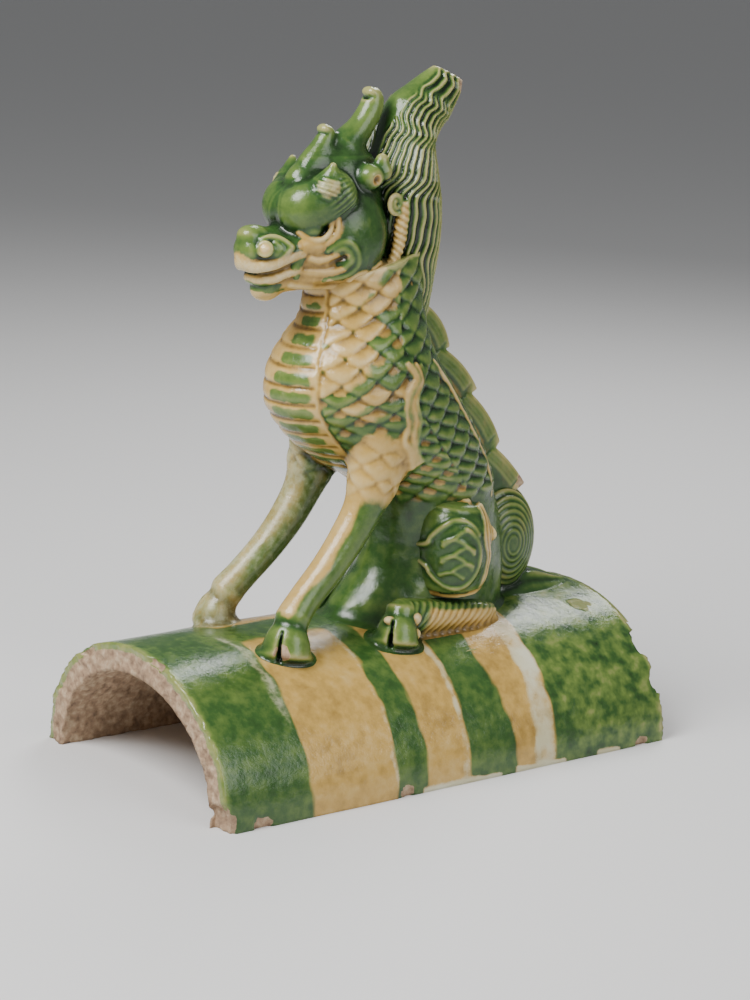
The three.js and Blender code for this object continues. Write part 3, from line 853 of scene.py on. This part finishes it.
def mouth_corner(field):
    """Double curl round the corner of the mouth, the pad inside it and the lips of the corner."""
    outer = [(-42, 251, 1.0), (-39, 253.3, 1.2), (-36, 254.9, 1.3), (-32.5, 255, 1.4),
             (-29.5, 252.3, 1.4), (-27.2, 247.8, 1.4), (-27.4, 243.3, 1.4), (-30.5, 239.8, 1.4),
             (-35, 238.2, 1.3), (-42, 237.3, 1.2)]
    pad = [(-38.5, 250.8, 1.2), (-35, 252.3, 1.9), (-31.8, 250.4, 2.1), (-30.6, 246.5, 1.9),
           (-33, 243.3, 1.5)]
    upper = [(-50, 247.6, 1.2), (-46, 246.2, 1.3), (-42, 247.2, 1.2), (-38, 249, 1.0)]
    lower = [(-53, 241.2, 1.2), (-45, 240.6, 1.3), (-38, 240.9, 1.2), (-33, 242.6, 1.0)]
    laid = [(outer, 1.0, GREEN), (pad, 1.0, OLIVE), (upper, 1.1, AMBER), (lower, 1.0, AMBER)]
    return [field.cord(path, proud, glaze) for path, proud, glaze in laid]


def jaw(field):
    """Roll along the lower edge of the jaw and the small curl of beard above it."""
    roll = [(-58, 235.2, 1.4), (-50, 234.2, 1.8), (-40, 233.6, 2), (-30, 233.4, 2), (-20, 234, 2),
            (-11, 237, 1.8)]
    curl = [(-29, 236.3, 1.1), (-26, 239.4, 1.3), (-22, 240.3, 1.4), (-18.5, 238.8, 1.3),
            (-19.5, 236, 1.2), (-22.5, 236.4, 1)]
    wisp = [(-17, 241.5, 1.1), (-13, 243.5, 1.3), (-9.5, 243, 1.2)]
    return [field.cord(roll, 1.3, AMBER), field.cord(curl, 1.2, BUFF), field.cord(wisp, 1.2, BUFF)]


def tusk():
    return limb([[13.2, -54.2, 248.8, 1.3, 1.8], [12.8, -56.4, 243.6, 1.4, 2.7],
                 [12, -55.8, 238.4, 0.8, 1.1]])


def ear():
    """Ear melted into the head, whose hollow looks out to the side, with two knobs above it."""
    swell = ball([16.2, -18.2, 284.6], [6.2, 6.3, 5.8])
    hollow = ball([23.4, -17.6, 283], [3.6, 3, 3.3], glaze=CLAYEY)
    knobs = [
        ball([16, -11.5, 291.6], [3.2, 3.2, 3.6], glaze=OLIVE),
        ball([17.6, -10.2, 286.4], [3, 2.8, 3.2], glaze=OLIVE),
    ]
    return swell, hollow, knobs


def twisted(length, angle):
    """Short slanting strands across a rope."""
    return 0.5 * np.cos(2 * angle + 2.0 * length)


SPIRAL_Y = -4.3
SPIRAL_Z = 271.8


def whisker(field):
    """Spiral behind the cheek that runs down as a rope to the jaw."""
    coil = []
    for k in range(21):
        share = k / 20
        turn = 0.1 - 2 * math.pi * 1.7 * (1 - share)
        reach = 0.9 + 3.9 * share
        y, z = SPIRAL_Y + reach * math.cos(turn), SPIRAL_Z + 1.2 * reach * math.sin(turn)
        coil.append([18.6, y, z, 1.25])
    rope = [[18.4, 0.4, 271, 2], [18, 0.3, 266, 2.7], [17.2, 0, 260, 2.9], [16.4, 0.2, 254, 2.9],
            [15.8, -0.6, 248.5, 2.8], [15.6, -3.5, 242.5, 2.7], [15.2, -9, 237.8, 2.3]]
    return [limb(coil, glaze=OLIVE), limb(rope, carve=twisted, glaze=BUFF)]


def crown_hooks():
    """A short tuft over the brows and the blunt horn behind it, both nodding forward at the tip."""
    tuft = [[0, -44, 280, 9, 10], [0, -40, 289, 7, 7.6], [0, -35, 297, 5.4, 5.6],
            [0, -32.6, 303, 4.3, 4.2], [0, -34.6, 305.6, 3.9, 2.6]]
    horn = [[0, -22, 297, 8, 8.5], [0, -13.5, 305.5, 6.4, 6.4], [0, -7.6, 314, 5.8, 5.8],
            [0, -6.6, 319.8, 5.2, 5], [0, -8.8, 322.4, 4.4, 2.6]]
    return [limb(tuft), limb(horn), ball([0, -48.5, 284], [4.5, 4, 4], glaze=OLIVE)]


# ---- fields of the three carved pieces ------------------------------------


def pair(forms):
    return [part for form in forms for part in (form, form.mirrored())]


SLIP_REACH = 5.5
SLIP_PROUD = 0.35
SLIP_DEPTH = 5.0


def slip(field):
    """Clay slip that rounds the beast's feet into the tile, feathered out on the tile's back."""
    x, _, z = field.axes()
    share = (np.abs(x) / TILE_HALF) ** TILE_ROUNDNESS + (np.abs(z) / TILE_RISE) ** TILE_ROUNDNESS
    steep_x = TILE_ROUNDNESS * (np.abs(x) / TILE_HALF) ** (TILE_ROUNDNESS - 1) / TILE_HALF
    steep_z = TILE_ROUNDNESS * (np.abs(z) / TILE_RISE) ** (TILE_ROUNDNESS - 1) / TILE_RISE
    tile = ((share - 1) / np.hypot(steep_x, steep_z)).astype(np.float32)
    merged = melt(field.value, np.broadcast_to(tile + SLIP_PROUD, field.value.shape), SLIP_REACH)
    field.value = np.maximum(merged, field.value - SLIP_REACH)
    field.value = np.maximum(field.value, np.broadcast_to(-(tile + SLIP_DEPTH), field.value.shape))


def body_field():
    """Trunk, forelegs and crest."""
    field = Field([-54, -96, 54], [54, 104, 262], BODY_VOXEL)
    field.add([trunk()], 0)
    field.add([foreleg(True), foreleg(False).mirrored()], 4)
    laid = [*flames(field), crest_cord(field)]
    field.add([crest()], 3, swell=1.0)
    field.add(pair([*laid, *crest_ribs()]), 1.2)
    near, blade = hoof(*FORE_HOOF)
    far = hoof(*FORE_HOOF, WHITISH)[0].mirrored()
    field.add([near, far], 3)
    slip(field)
    field.cut(pair([blade]), 1.2)
    return field


def hind_field():
    """Haunches, hind legs and tail."""
    field = Field([-54, -28, 54], [54, 134, 132], HIND_VOXEL)
    field.add(pair([haunch()]), 2.5)
    field.add([tail(), tail_tip()], 2)
    laid = [*haunch_locks(field), *swirl(field)]
    field.add(pair([shank()]), 2)
    toes, blade = hoof(*HIND_HOOF)
    field.add(pair([toes]), 3)
    field.add(pair([*laid, *fetlocks()]), 1.0)
    slip(field)
    field.cut(pair([blade]), 1.0)
    return field


def head_field():
    field = Field([-32, -90, 196], [32, 54, 341], HEAD_VOXEL)
    globe, lower_lid, second_lid = eye()
    ring, dome, wing, fold, inner = nostril()
    swell, hollow, knobs = ear()
    roll, point, pad = brow()
    field.add([*skull(), *pair([cheek()])], 5)
    field.add([mane()], 1.5)
    field.add(muzzle(), 4)
    laid = [*mouth_corner(field), *jaw(field)]
    field.cut(pair([ball([18.5, -46.5, 261], [4.2, 7.5, 5.2])]), 3)
    field.add(pair([roll]), 2.5)
    field.add(pair([point, swell, *knobs]), 3.5)
    field.add([*nose(), *crown_hooks()], 3.5)
    field.add(lips(), 1.4)
    field.cut([mouth_line()], 0.8)
    field.cut(pair([hollow, ball([20.6, -38.5, 245.4], [3.4, 7, 1.6], pitch=0.5, glaze=CLAYEY)]), 1.2)
    field.add(pair([pad, globe, wing, fold, tusk(), *laid, *whisker(field)]), 1.3)
    field.add(pair([lower_lid, second_lid, ring, dome, inner]), 0.9)
    return field


# ---- meshes and their glaze -----------------------------------------------

# Where the glaze breaks with the rest: x, y, z, reach along each, and the glaze there.
PATCHES = [
    (0, -26, 231, 26, 36, 8, (0.12, 0, 0)),
    (17, -50, 253, 6, 7, 4, (0.05, 0.1, 0)),
    (-17, -50, 253, 6, 7, 4, (0.05, 0.1, 0)),
    (0, -68, 234, 14, 12, 3.2, (0.9, 0, 0)),
    (0, -67, 229.5, 6, 6, 3, (0.1, 0, 0.2)),
    (0, 46, 326, 12, 5, 7, (0.1, 0.2, 0.9)),
    (0, 96, 124, 7, 5, 6, (0.0, 0.1, 1.0)),
    (38.5, -77, 66, 4, 4, 5, CLAY),
]


# Widths in millimetres of the ridges and of the hollows that the glaze answers to.
RIDGE_REACH = 2.6
HOLLOW_REACH = 9.0


def brush(points, glaze, patches):
    ragged = 0.3 * noise(points, 5, 3) + 0.15 * noise(points, 2, 4)
    for x, y, z, reach_x, reach_y, reach_z, target in patches:
        away = np.linalg.norm((points - [x, y, z]) / [reach_x, reach_y, reach_z], axis=1) + ragged
        weight = ease(1.1, 0.8, away)[:, None]
        glaze = between(glaze, target, weight)
    return glaze


def nearest_glaze(points, forms):
    """Glaze of the form point nearest to each point."""
    sources = np.vstack([form.points for form in forms])
    glazes = np.vstack([form.glaze for form in forms])
    tree = kdtree.KDTree(len(sources))
    for index, point in enumerate(sources.tolist()):
        tree.insert(point, index)
    tree.balance()
    found = [tree.find(point)[1] for point in points.tolist()]
    return glazes[found]


def add_object(name, data):
    made = bpy.data.objects.new(name, data)
    bpy.context.scene.collection.objects.link(made)
    return made


def make_object(name, points, faces):
    """Object of a mesh given in millimetres, shaded smooth."""
    mesh = bpy.data.meshes.new(name)
    mesh.from_pydata((points * UNIT).tolist(), [], faces.tolist())
    mesh.update()
    mesh.shade_smooth()
    return add_object(name, mesh)


def thin_out(made):
    """Brings a mesh under the triangle limit."""
    triangles = sum(len(face.vertices) - 2 for face in made.data.polygons)
    if triangles <= MOST_TRIANGLES:
        return
    modifier = made.modifiers.new("thin_out", "DECIMATE")
    modifier.ratio = MOST_TRIANGLES / triangles
    evaluated = made.evaluated_get(bpy.context.evaluated_depsgraph_get())
    mesh = bpy.data.meshes.new_from_object(evaluated)
    made.modifiers.clear()
    made.data = mesh
    mesh.shade_smooth()


def points_of(made):
    flat = np.empty(len(made.data.vertices) * 3)
    made.data.vertices.foreach_get("co", flat)
    return flat.reshape(-1, 3) / UNIT


def store(made, **layers):
    for name, values in layers.items():
        layer = made.data.attributes.new(name, "FLOAT", "POINT")
        layer.data.foreach_set("value", np.asarray(values, np.float32))


def soften(made, values, rounds):
    """Averages values over neighbouring points, some rounds over."""
    edges = np.empty(len(made.data.edges) * 2, np.int64)
    made.data.edges.foreach_get("vertices", edges)
    a, b = edges.reshape(-1, 2).T
    count = 1.0 + np.bincount(a, minlength=len(values)) + np.bincount(b, minlength=len(values))
    for _ in range(rounds):
        for column in values.T:
            total = column + np.bincount(a, column[b], len(column)) + np.bincount(b, column[a], len(column))
            column[:] = total / count
    return values


def dress(made, material):
    """Gives a finished piece its material and body."""
    made.data.materials.append(material)
    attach(made, "root")
    return made


def carved_piece(name, field, material):
    """Mesh of a field with its glaze, ridges and hollows stored for the material."""
    points, quads = field.mesh()
    made = make_object(name, points, quads)
    thin_out(made)
    points = points_of(made)
    glaze = soften(made, nearest_glaze(points, field.forms), 3)
    glaze = brush(points, glaze, PATCHES)
    ridge = field.curvature(points, RIDGE_REACH)
    hollow = field.curvature(points, HOLLOW_REACH)
    green, pale, bare = glaze.T
    store(made, green=green, pale=pale, bare=bare, ridge=ridge, hollow=hollow, mottle=0 * ridge)
    return dress(made, material)


# ---- the tile -------------------------------------------------------------


def lattice_skin(counts):
    """Lattice places and quads on the boundary of a block of cells."""
    index, places, quads = {}, [], []

    def corner(place):
        if place not in index:
            index[place] = len(places)
            places.append(place)
        return index[place]

    for axis in range(3):
        u, v = [i for i in range(3) if i != axis]
        for end in (0, counts[axis]):
            for i in range(counts[u]):
                for j in range(counts[v]):
                    quad = []
                    for du, dv in ((0, 0), (1, 0), (1, 1), (0, 1)):
                        place = [0, 0, 0]
                        place[axis], place[u], place[v] = end, i + du, j + dv
                        quad.append(corner(tuple(place)))
                    forward = (end == 0) == (axis == 1)
                    quads.append(quad if forward else quad[::-1])
    return np.array(places, float) / counts, np.array(quads)


def tile_points(share):
    """Points of the tile's wall: shares round the arch, along it, and in through the wall."""
    angle = np.pi * share[:, 0]
    power = 2 / TILE_ROUNDNESS
    cos = signed_power(np.cos(angle), power)
    sin = np.abs(np.sin(angle)) ** power
    half = TILE_HALF - TILE_WALL * share[:, 2]
    rise = TILE_RISE - TILE_WALL * share[:, 2]
    return np.stack([half * cos, TILE_LENGTH * (share[:, 1] - 0.5), rise * sin], 1)


def chipped(points):
    """How deep each point of the tile lies in a chip, from 0 to 1."""
    ragged = 0.3 * noise(points, 3.5, 13)
    depth = np.zeros(len(points))
    for x, y, z, reach_x, reach_y, reach_z in CHIPS:
        away = np.linalg.norm((points - [x, y, z]) / [reach_x, reach_y, reach_z], axis=1)
        depth = np.maximum(depth, ease(1.1, 0.75, away + ragged))
    return depth


def tile_piece(material):
    counts = np.array([170, 200, 9]) // 1
    share, quads = lattice_skin([int(c) for c in counts])
    points = tile_points(share)
    outward = unit(points * [1, 0, 1] + [0, 0, 6])
    rough = noise(points, 2.5, 1) + 0.6 * noise(points, 1.2, 2)
    inner = ease(0.9, 1.0, share[:, 2])
    chip = chipped(points)
    rim = ease(0.02, 0.0, np.minimum(share[:, 1], 1 - share[:, 1]))
    broad = noise(points, 9, 14)
    points += outward * (0.45 * noise(points, 22, 5) * (1 - inner))[:, None]
    points -= outward * ((0.7 * rough + 0.6 * broad) * inner + 1.6 * chip * (1 - inner))[:, None]
    worn = rim * (1.2 + 0.9 * rough + 0.7 * broad + 3.0 * chip)
    points[:, 1] += np.where(share[:, 1] < 0.5, 1, -1) * np.maximum(worn, 0)
    points[:, 2] = np.maximum(points[:, 2], 0)
    made = make_object("glazed_tile", points, quads)
    green, pale, bare, mottle = tile_glaze(points, share, chip)
    store(made, green=green, pale=pale, bare=bare, ridge=0.12 * rim, hollow=0 * green, mottle=mottle)
    return dress(made, material)


def tile_glaze(points, share, chip):
    """Green, pale, bare and mottled shares: amber runs down the sides, clay inside and on the rims."""
    x, y, z = points.T
    near = ease(-8, 8, x)
    y = y + 1.8 * noise(points, 15, 8) + 1.2 * noise(points * [1, 3, 1], 7, 9)
    y = y + (1 - near) * 9 * noise(points, 30, 15)
    foot = 1 - z / TILE_RISE
    amber = np.zeros(len(points))
    pale = 0.1 * ease(0.1, 0.7, noise(points, 14, 10))
    for run in RUNS:
        front = run["front"][0] + (run["front"][1] - run["front"][0]) * foot
        rear = run["rear"][0] + (run["rear"][1] - run["rear"][0]) * foot
        started = ease(6, 20, np.abs(x))
        amber = np.maximum(amber, window(y, front, rear + run["bloom"], 3.2) * started)
        bloom = window(y, rear + 1, rear + run["bloom"], 2.5) * started
        pale = np.maximum(pale, (0.62 + 0.3 * noise(points, 6, 16)) * bloom)
    pale = np.maximum(pale, 0.5 * window(y, -91, -84, 4) * ease(30, 50, z) * near)
    short = np.zeros(len(points))
    for start, end in BARE_FOOT:
        short = np.maximum(short, window(points[:, 1], start, end, 1.5))
    short = short * ease(3.4, 2.2, z + 0.8 * noise(points, 5, 18)) * near
    amber = np.maximum(amber, short)
    pale = np.maximum(pale, 0.9 * short)
    mottle = 0.35 + 0.65 * ease(55, 75, y)
    lip = ease(0.0, 0.5, share[:, 2]) * ease(0.006, 0.0, np.minimum(share[:, 1], 1 - share[:, 1]))
    bare = np.maximum.reduce([ease(0.55, 0.95, share[:, 2]), lip, chip])
    return 1 - amber, pale, bare, mottle


# ---- glaze material -------------------------------------------------------


def colour(text):
    """Linear colour from a web colour."""
    values = [int(text[i:i + 2], 16) / 255 for i in (0, 2, 4)]
    return (*[v / 12.92 if v <= 0.04045 else ((v + 0.055) / 1.055) ** 2.4 for v in values], 1.0)


class Graph:
    """Short words for building a material's nodes."""

    def __init__(self, name):
        self.material = bpy.data.materials.new(name)
        self.material.use_nodes = True
        self.tree = self.material.node_tree
        self.shader = self.tree.nodes["Principled BSDF"]
        self.place = self.tree.nodes.new("ShaderNodeTexCoord").outputs["Object"]

    def link(self, source, target):
        if isinstance(source, bpy.types.NodeSocket):
            self.tree.links.new(source, target)
        else:
            target.default_value = source

    def add(self, kind, inputs):
        """New node with some of its inputs linked or set."""
        node = self.tree.nodes.new(kind)
        for name, source in inputs.items():
            self.link(source, node.inputs[name])
        return node

    def attribute(self, name):
        node = self.tree.nodes.new("ShaderNodeAttribute")
        node.attribute_name = name
        return node.outputs["Fac"]

    def math(self, operation, *values):
        node = self.tree.nodes.new("ShaderNodeMath")
        node.operation = operation
        for value, socket in zip(values, node.inputs):
            self.link(value, socket)
        return node.outputs[0]

    def noise(self, scale, detail, roughness, stretch=None):
        place = self.place
        if stretch:
            place = self.add("ShaderNodeMapping", {"Vector": place, "Scale": stretch}).outputs["Vector"]
        settings = {"Vector": place, "Scale": scale, "Detail": detail, "Roughness": roughness}
        return self.add("ShaderNodeTexNoise", settings).outputs["Fac"]

    def centred(self, value, strength):
        """A value from 0 to 1 made to swing about 0, times a strength."""
        return self.math("MULTIPLY", self.math("SUBTRACT", value, 0.5), strength)

    def steps(self, value, low, high):
        """0 below low, 1 above high, smooth between."""
        node = self.add("ShaderNodeMapRange", {"Value": value, "From Min": low, "From Max": high})
        node.interpolation_type = "SMOOTHSTEP"
        return node.outputs["Result"]

    def ramp(self, value, stops):
        node = self.tree.nodes.new("ShaderNodeValToRGB")
        elements = node.color_ramp.elements
        while len(elements) < len(stops):
            elements.new(0.5)
        for element, (position, text) in zip(elements, stops):
            element.position = position
            element.color = colour(text)
        self.link(value, node.inputs["Fac"])
        return node.outputs["Color"]

    def mix(self, share, a, b):
        node = self.tree.nodes.new("ShaderNodeMix")
        node.data_type = "RGBA"
        self.link(share, node.inputs["Factor"])
        self.link(a, node.inputs[6])
        self.link(b, node.inputs[7])
        return node.outputs[2]

    def bump(self, height, distance, strength, normal=None):
        node = self.add("ShaderNodeBump", {"Height": height, "Distance": distance, "Strength": strength})
        if normal:
            self.link(normal, node.inputs["Normal"])
        return node.outputs["Normal"]


# Colours of each glaze from its pools to its thinnest skin over a ridge.
GREEN_GLAZE = [(0.0, "0c1a0c"), (0.24, "1b3016"), (0.46, "345425"), (0.68, "637a38"), (1.0, "a09d62")]
AMBER_GLAZE = [(0.0, "3f3418"), (0.28, "85682f"), (0.52, "bb9850"), (1.0, "dcc48c")]


def glaze_material():
    """Green and amber lead glaze that pools in grooves, pale bloom with a few painted highlights, and bare
    clay where it is broken.
    """
    g = Graph("lead_glaze")
    ridge = g.attribute("ridge")
    hollow = g.attribute("hollow")
    fine = g.noise(260, 6, 0.6)
    broad = g.noise(38, 3, 0.5)
    drops = g.noise(150, 2, 0.5)
    runs = g.noise(90, 4, 0.6, stretch=(1, 1, 0.35))

    depth = g.math("MULTIPLY_ADD", ridge, 2.6, 0.47)
    depth = g.math("ADD", depth, g.centred(broad, 0.35))
    depth = g.math("ADD", depth, g.centred(fine, 0.3))
    depth = g.math("ADD", depth, g.math("MULTIPLY", hollow, 0.5))
    drops = g.math("ADD", g.centred(drops, 0.9), 0.1)
    depth = g.math("ADD", depth, g.math("MULTIPLY", g.attribute("mottle"), drops))
    green = g.ramp(depth, GREEN_GLAZE)
    amber = g.ramp(depth, AMBER_GLAZE)

    share = g.math("ADD", g.attribute("green"), g.centred(runs, 0.55))
    share = g.math("ADD", share, g.centred(fine, 0.25))
    share = g.math("ADD", share, g.math("MULTIPLY", ridge, -0.5))
    glaze = g.mix(g.steps(share, 0.26, 0.74), amber, green)

    # The pale layer is bloom, paler on ridges, and on the front scale crests and nostril folds a painted
    # highlight.
    worn = g.math("ADD", g.attribute("pale"), g.centred(fine, 0.6))
    worn = g.math("ADD", worn, g.math("MULTIPLY", ridge, 0.35))
    pale_share = g.steps(worn, 0.22, 0.85)
    pale = g.ramp(broad, [(0.3, "bfb68c"), (0.7, "d2d0b8")])
    glaze = g.mix(pale_share, glaze, pale)

    clay = g.ramp(fine, [(0.25, "6b5443"), (0.5, "a88c70"), (0.75, "cdb89a")])
    broken = g.steps(g.math("ADD", g.attribute("bare"), g.centred(fine, 0.4)), 0.4, 0.6)
    g.link(g.mix(broken, glaze, clay), g.shader.inputs["Base Color"])

    rough = g.math("MULTIPLY_ADD", fine, 0.25, 0.07)
    rough = g.math("ADD", rough, g.math("MULTIPLY", pale_share, 0.3))
    rough = g.math("MAXIMUM", rough, g.math("MULTIPLY", broken, 0.85))
    g.link(rough, g.shader.inputs["Roughness"])
    g.shader.inputs["IOR"].default_value = 1.52

    pits = g.bump(g.noise(520, 5, 0.6), 0.00025, 0.6)
    waves = g.bump(g.noise(120, 3, 0.5), 0.0009, 0.4, pits)
    g.link(waves, g.shader.inputs["Normal"])
    return g.material


# ---- floor, light and camera ----------------------------------------------


def floor():
    size = 400 * (HIGH.z - LOW.z)
    bpy.ops.mesh.primitive_plane_add(size=size, location=(0, 0, LOW.z))
    plane = bpy.context.object
    plane.name = "floor"
    g = Graph("pale_floor")
    g.shader.inputs["Base Color"].default_value = colour("dcdbda")
    g.shader.inputs["Roughness"].default_value = 0.75
    plane.data.materials.append(g.material)


def aim(made, location, target):
    direction = np.array(location) - np.array(target)
    back = direction / np.linalg.norm(direction)
    right = unit(np.cross([0, 0, 1], back))
    up = np.cross(back, right)
    turn = Matrix(np.stack([right, up, back], 1).tolist()).to_4x4()
    made.matrix_world = Matrix.Translation(location) @ turn


def soft_light(name, direction, distance, size, power):
    """Square lamp aimed at the beast from a direction, its sizes in beast heights."""
    height = HIGH.z - LOW.z
    lamp = bpy.data.lights.new(name, "AREA")
    lamp.shape = "SQUARE"
    lamp.size = size * height
    lamp.energy = power
    made = add_object(name, lamp)
    target = np.array([0, 0, LOW.z + height * 0.45])
    aim(made, target + unit(np.array(direction, float)) * distance * height, target)


def lights():
    soft_light("key", (0.1, -1.0, 1.15), 3.4, 1.9, 21)
    soft_light("fill", (1.0, 0.2, 0.5), 4.2, 2.6, 8)
    soft_light("rim", (-0.6, 0.9, 1.0), 3.6, 1.6, 8)
    world = bpy.data.worlds.new("studio")
    bpy.context.scene.world = world
    world.use_nodes = True
    world.node_tree.nodes["Background"].inputs["Color"].default_value = colour("c4c6c8")
    world.node_tree.nodes["Background"].inputs["Strength"].default_value = 0.36


# Degrees round from the front, above the ground and of roll, then millimetres.
CAMERA_ANGLES = (53.0, 13.6, 2.19)
CAMERA_DISTANCE = 1308
CAMERA_TARGET = np.array([0, 3.95, 122.75])


def camera():
    """Camera from the beast's left front, a little above it."""
    data = bpy.data.cameras.new("camera")
    data.lens = 95.8
    data.sensor_width = 36
    data.clip_start = 0.05
    made = add_object("camera", data)
    azimuth, elevation, roll = (math.radians(a) for a in CAMERA_ANGLES)
    level = math.cos(elevation)
    back = np.array([math.sin(azimuth) * level, -math.cos(azimuth) * level, math.sin(elevation)])
    location = (CAMERA_TARGET + back * CAMERA_DISTANCE) * UNIT
    aim(made, location, CAMERA_TARGET * UNIT)
    made.matrix_world = made.matrix_world @ Matrix.Rotation(roll, 4, "Z")
    bpy.context.scene.camera = made


glazed = glaze_material()
pieces = [
    carved_piece("beast_body", body_field(), glazed),
    carved_piece("beast_hind", hind_field(), glazed),
    carved_piece("beast_head", head_field(), glazed),
    tile_piece(glazed),
]
for piece in pieces:
    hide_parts(NODE)
floor()
lights()
camera()
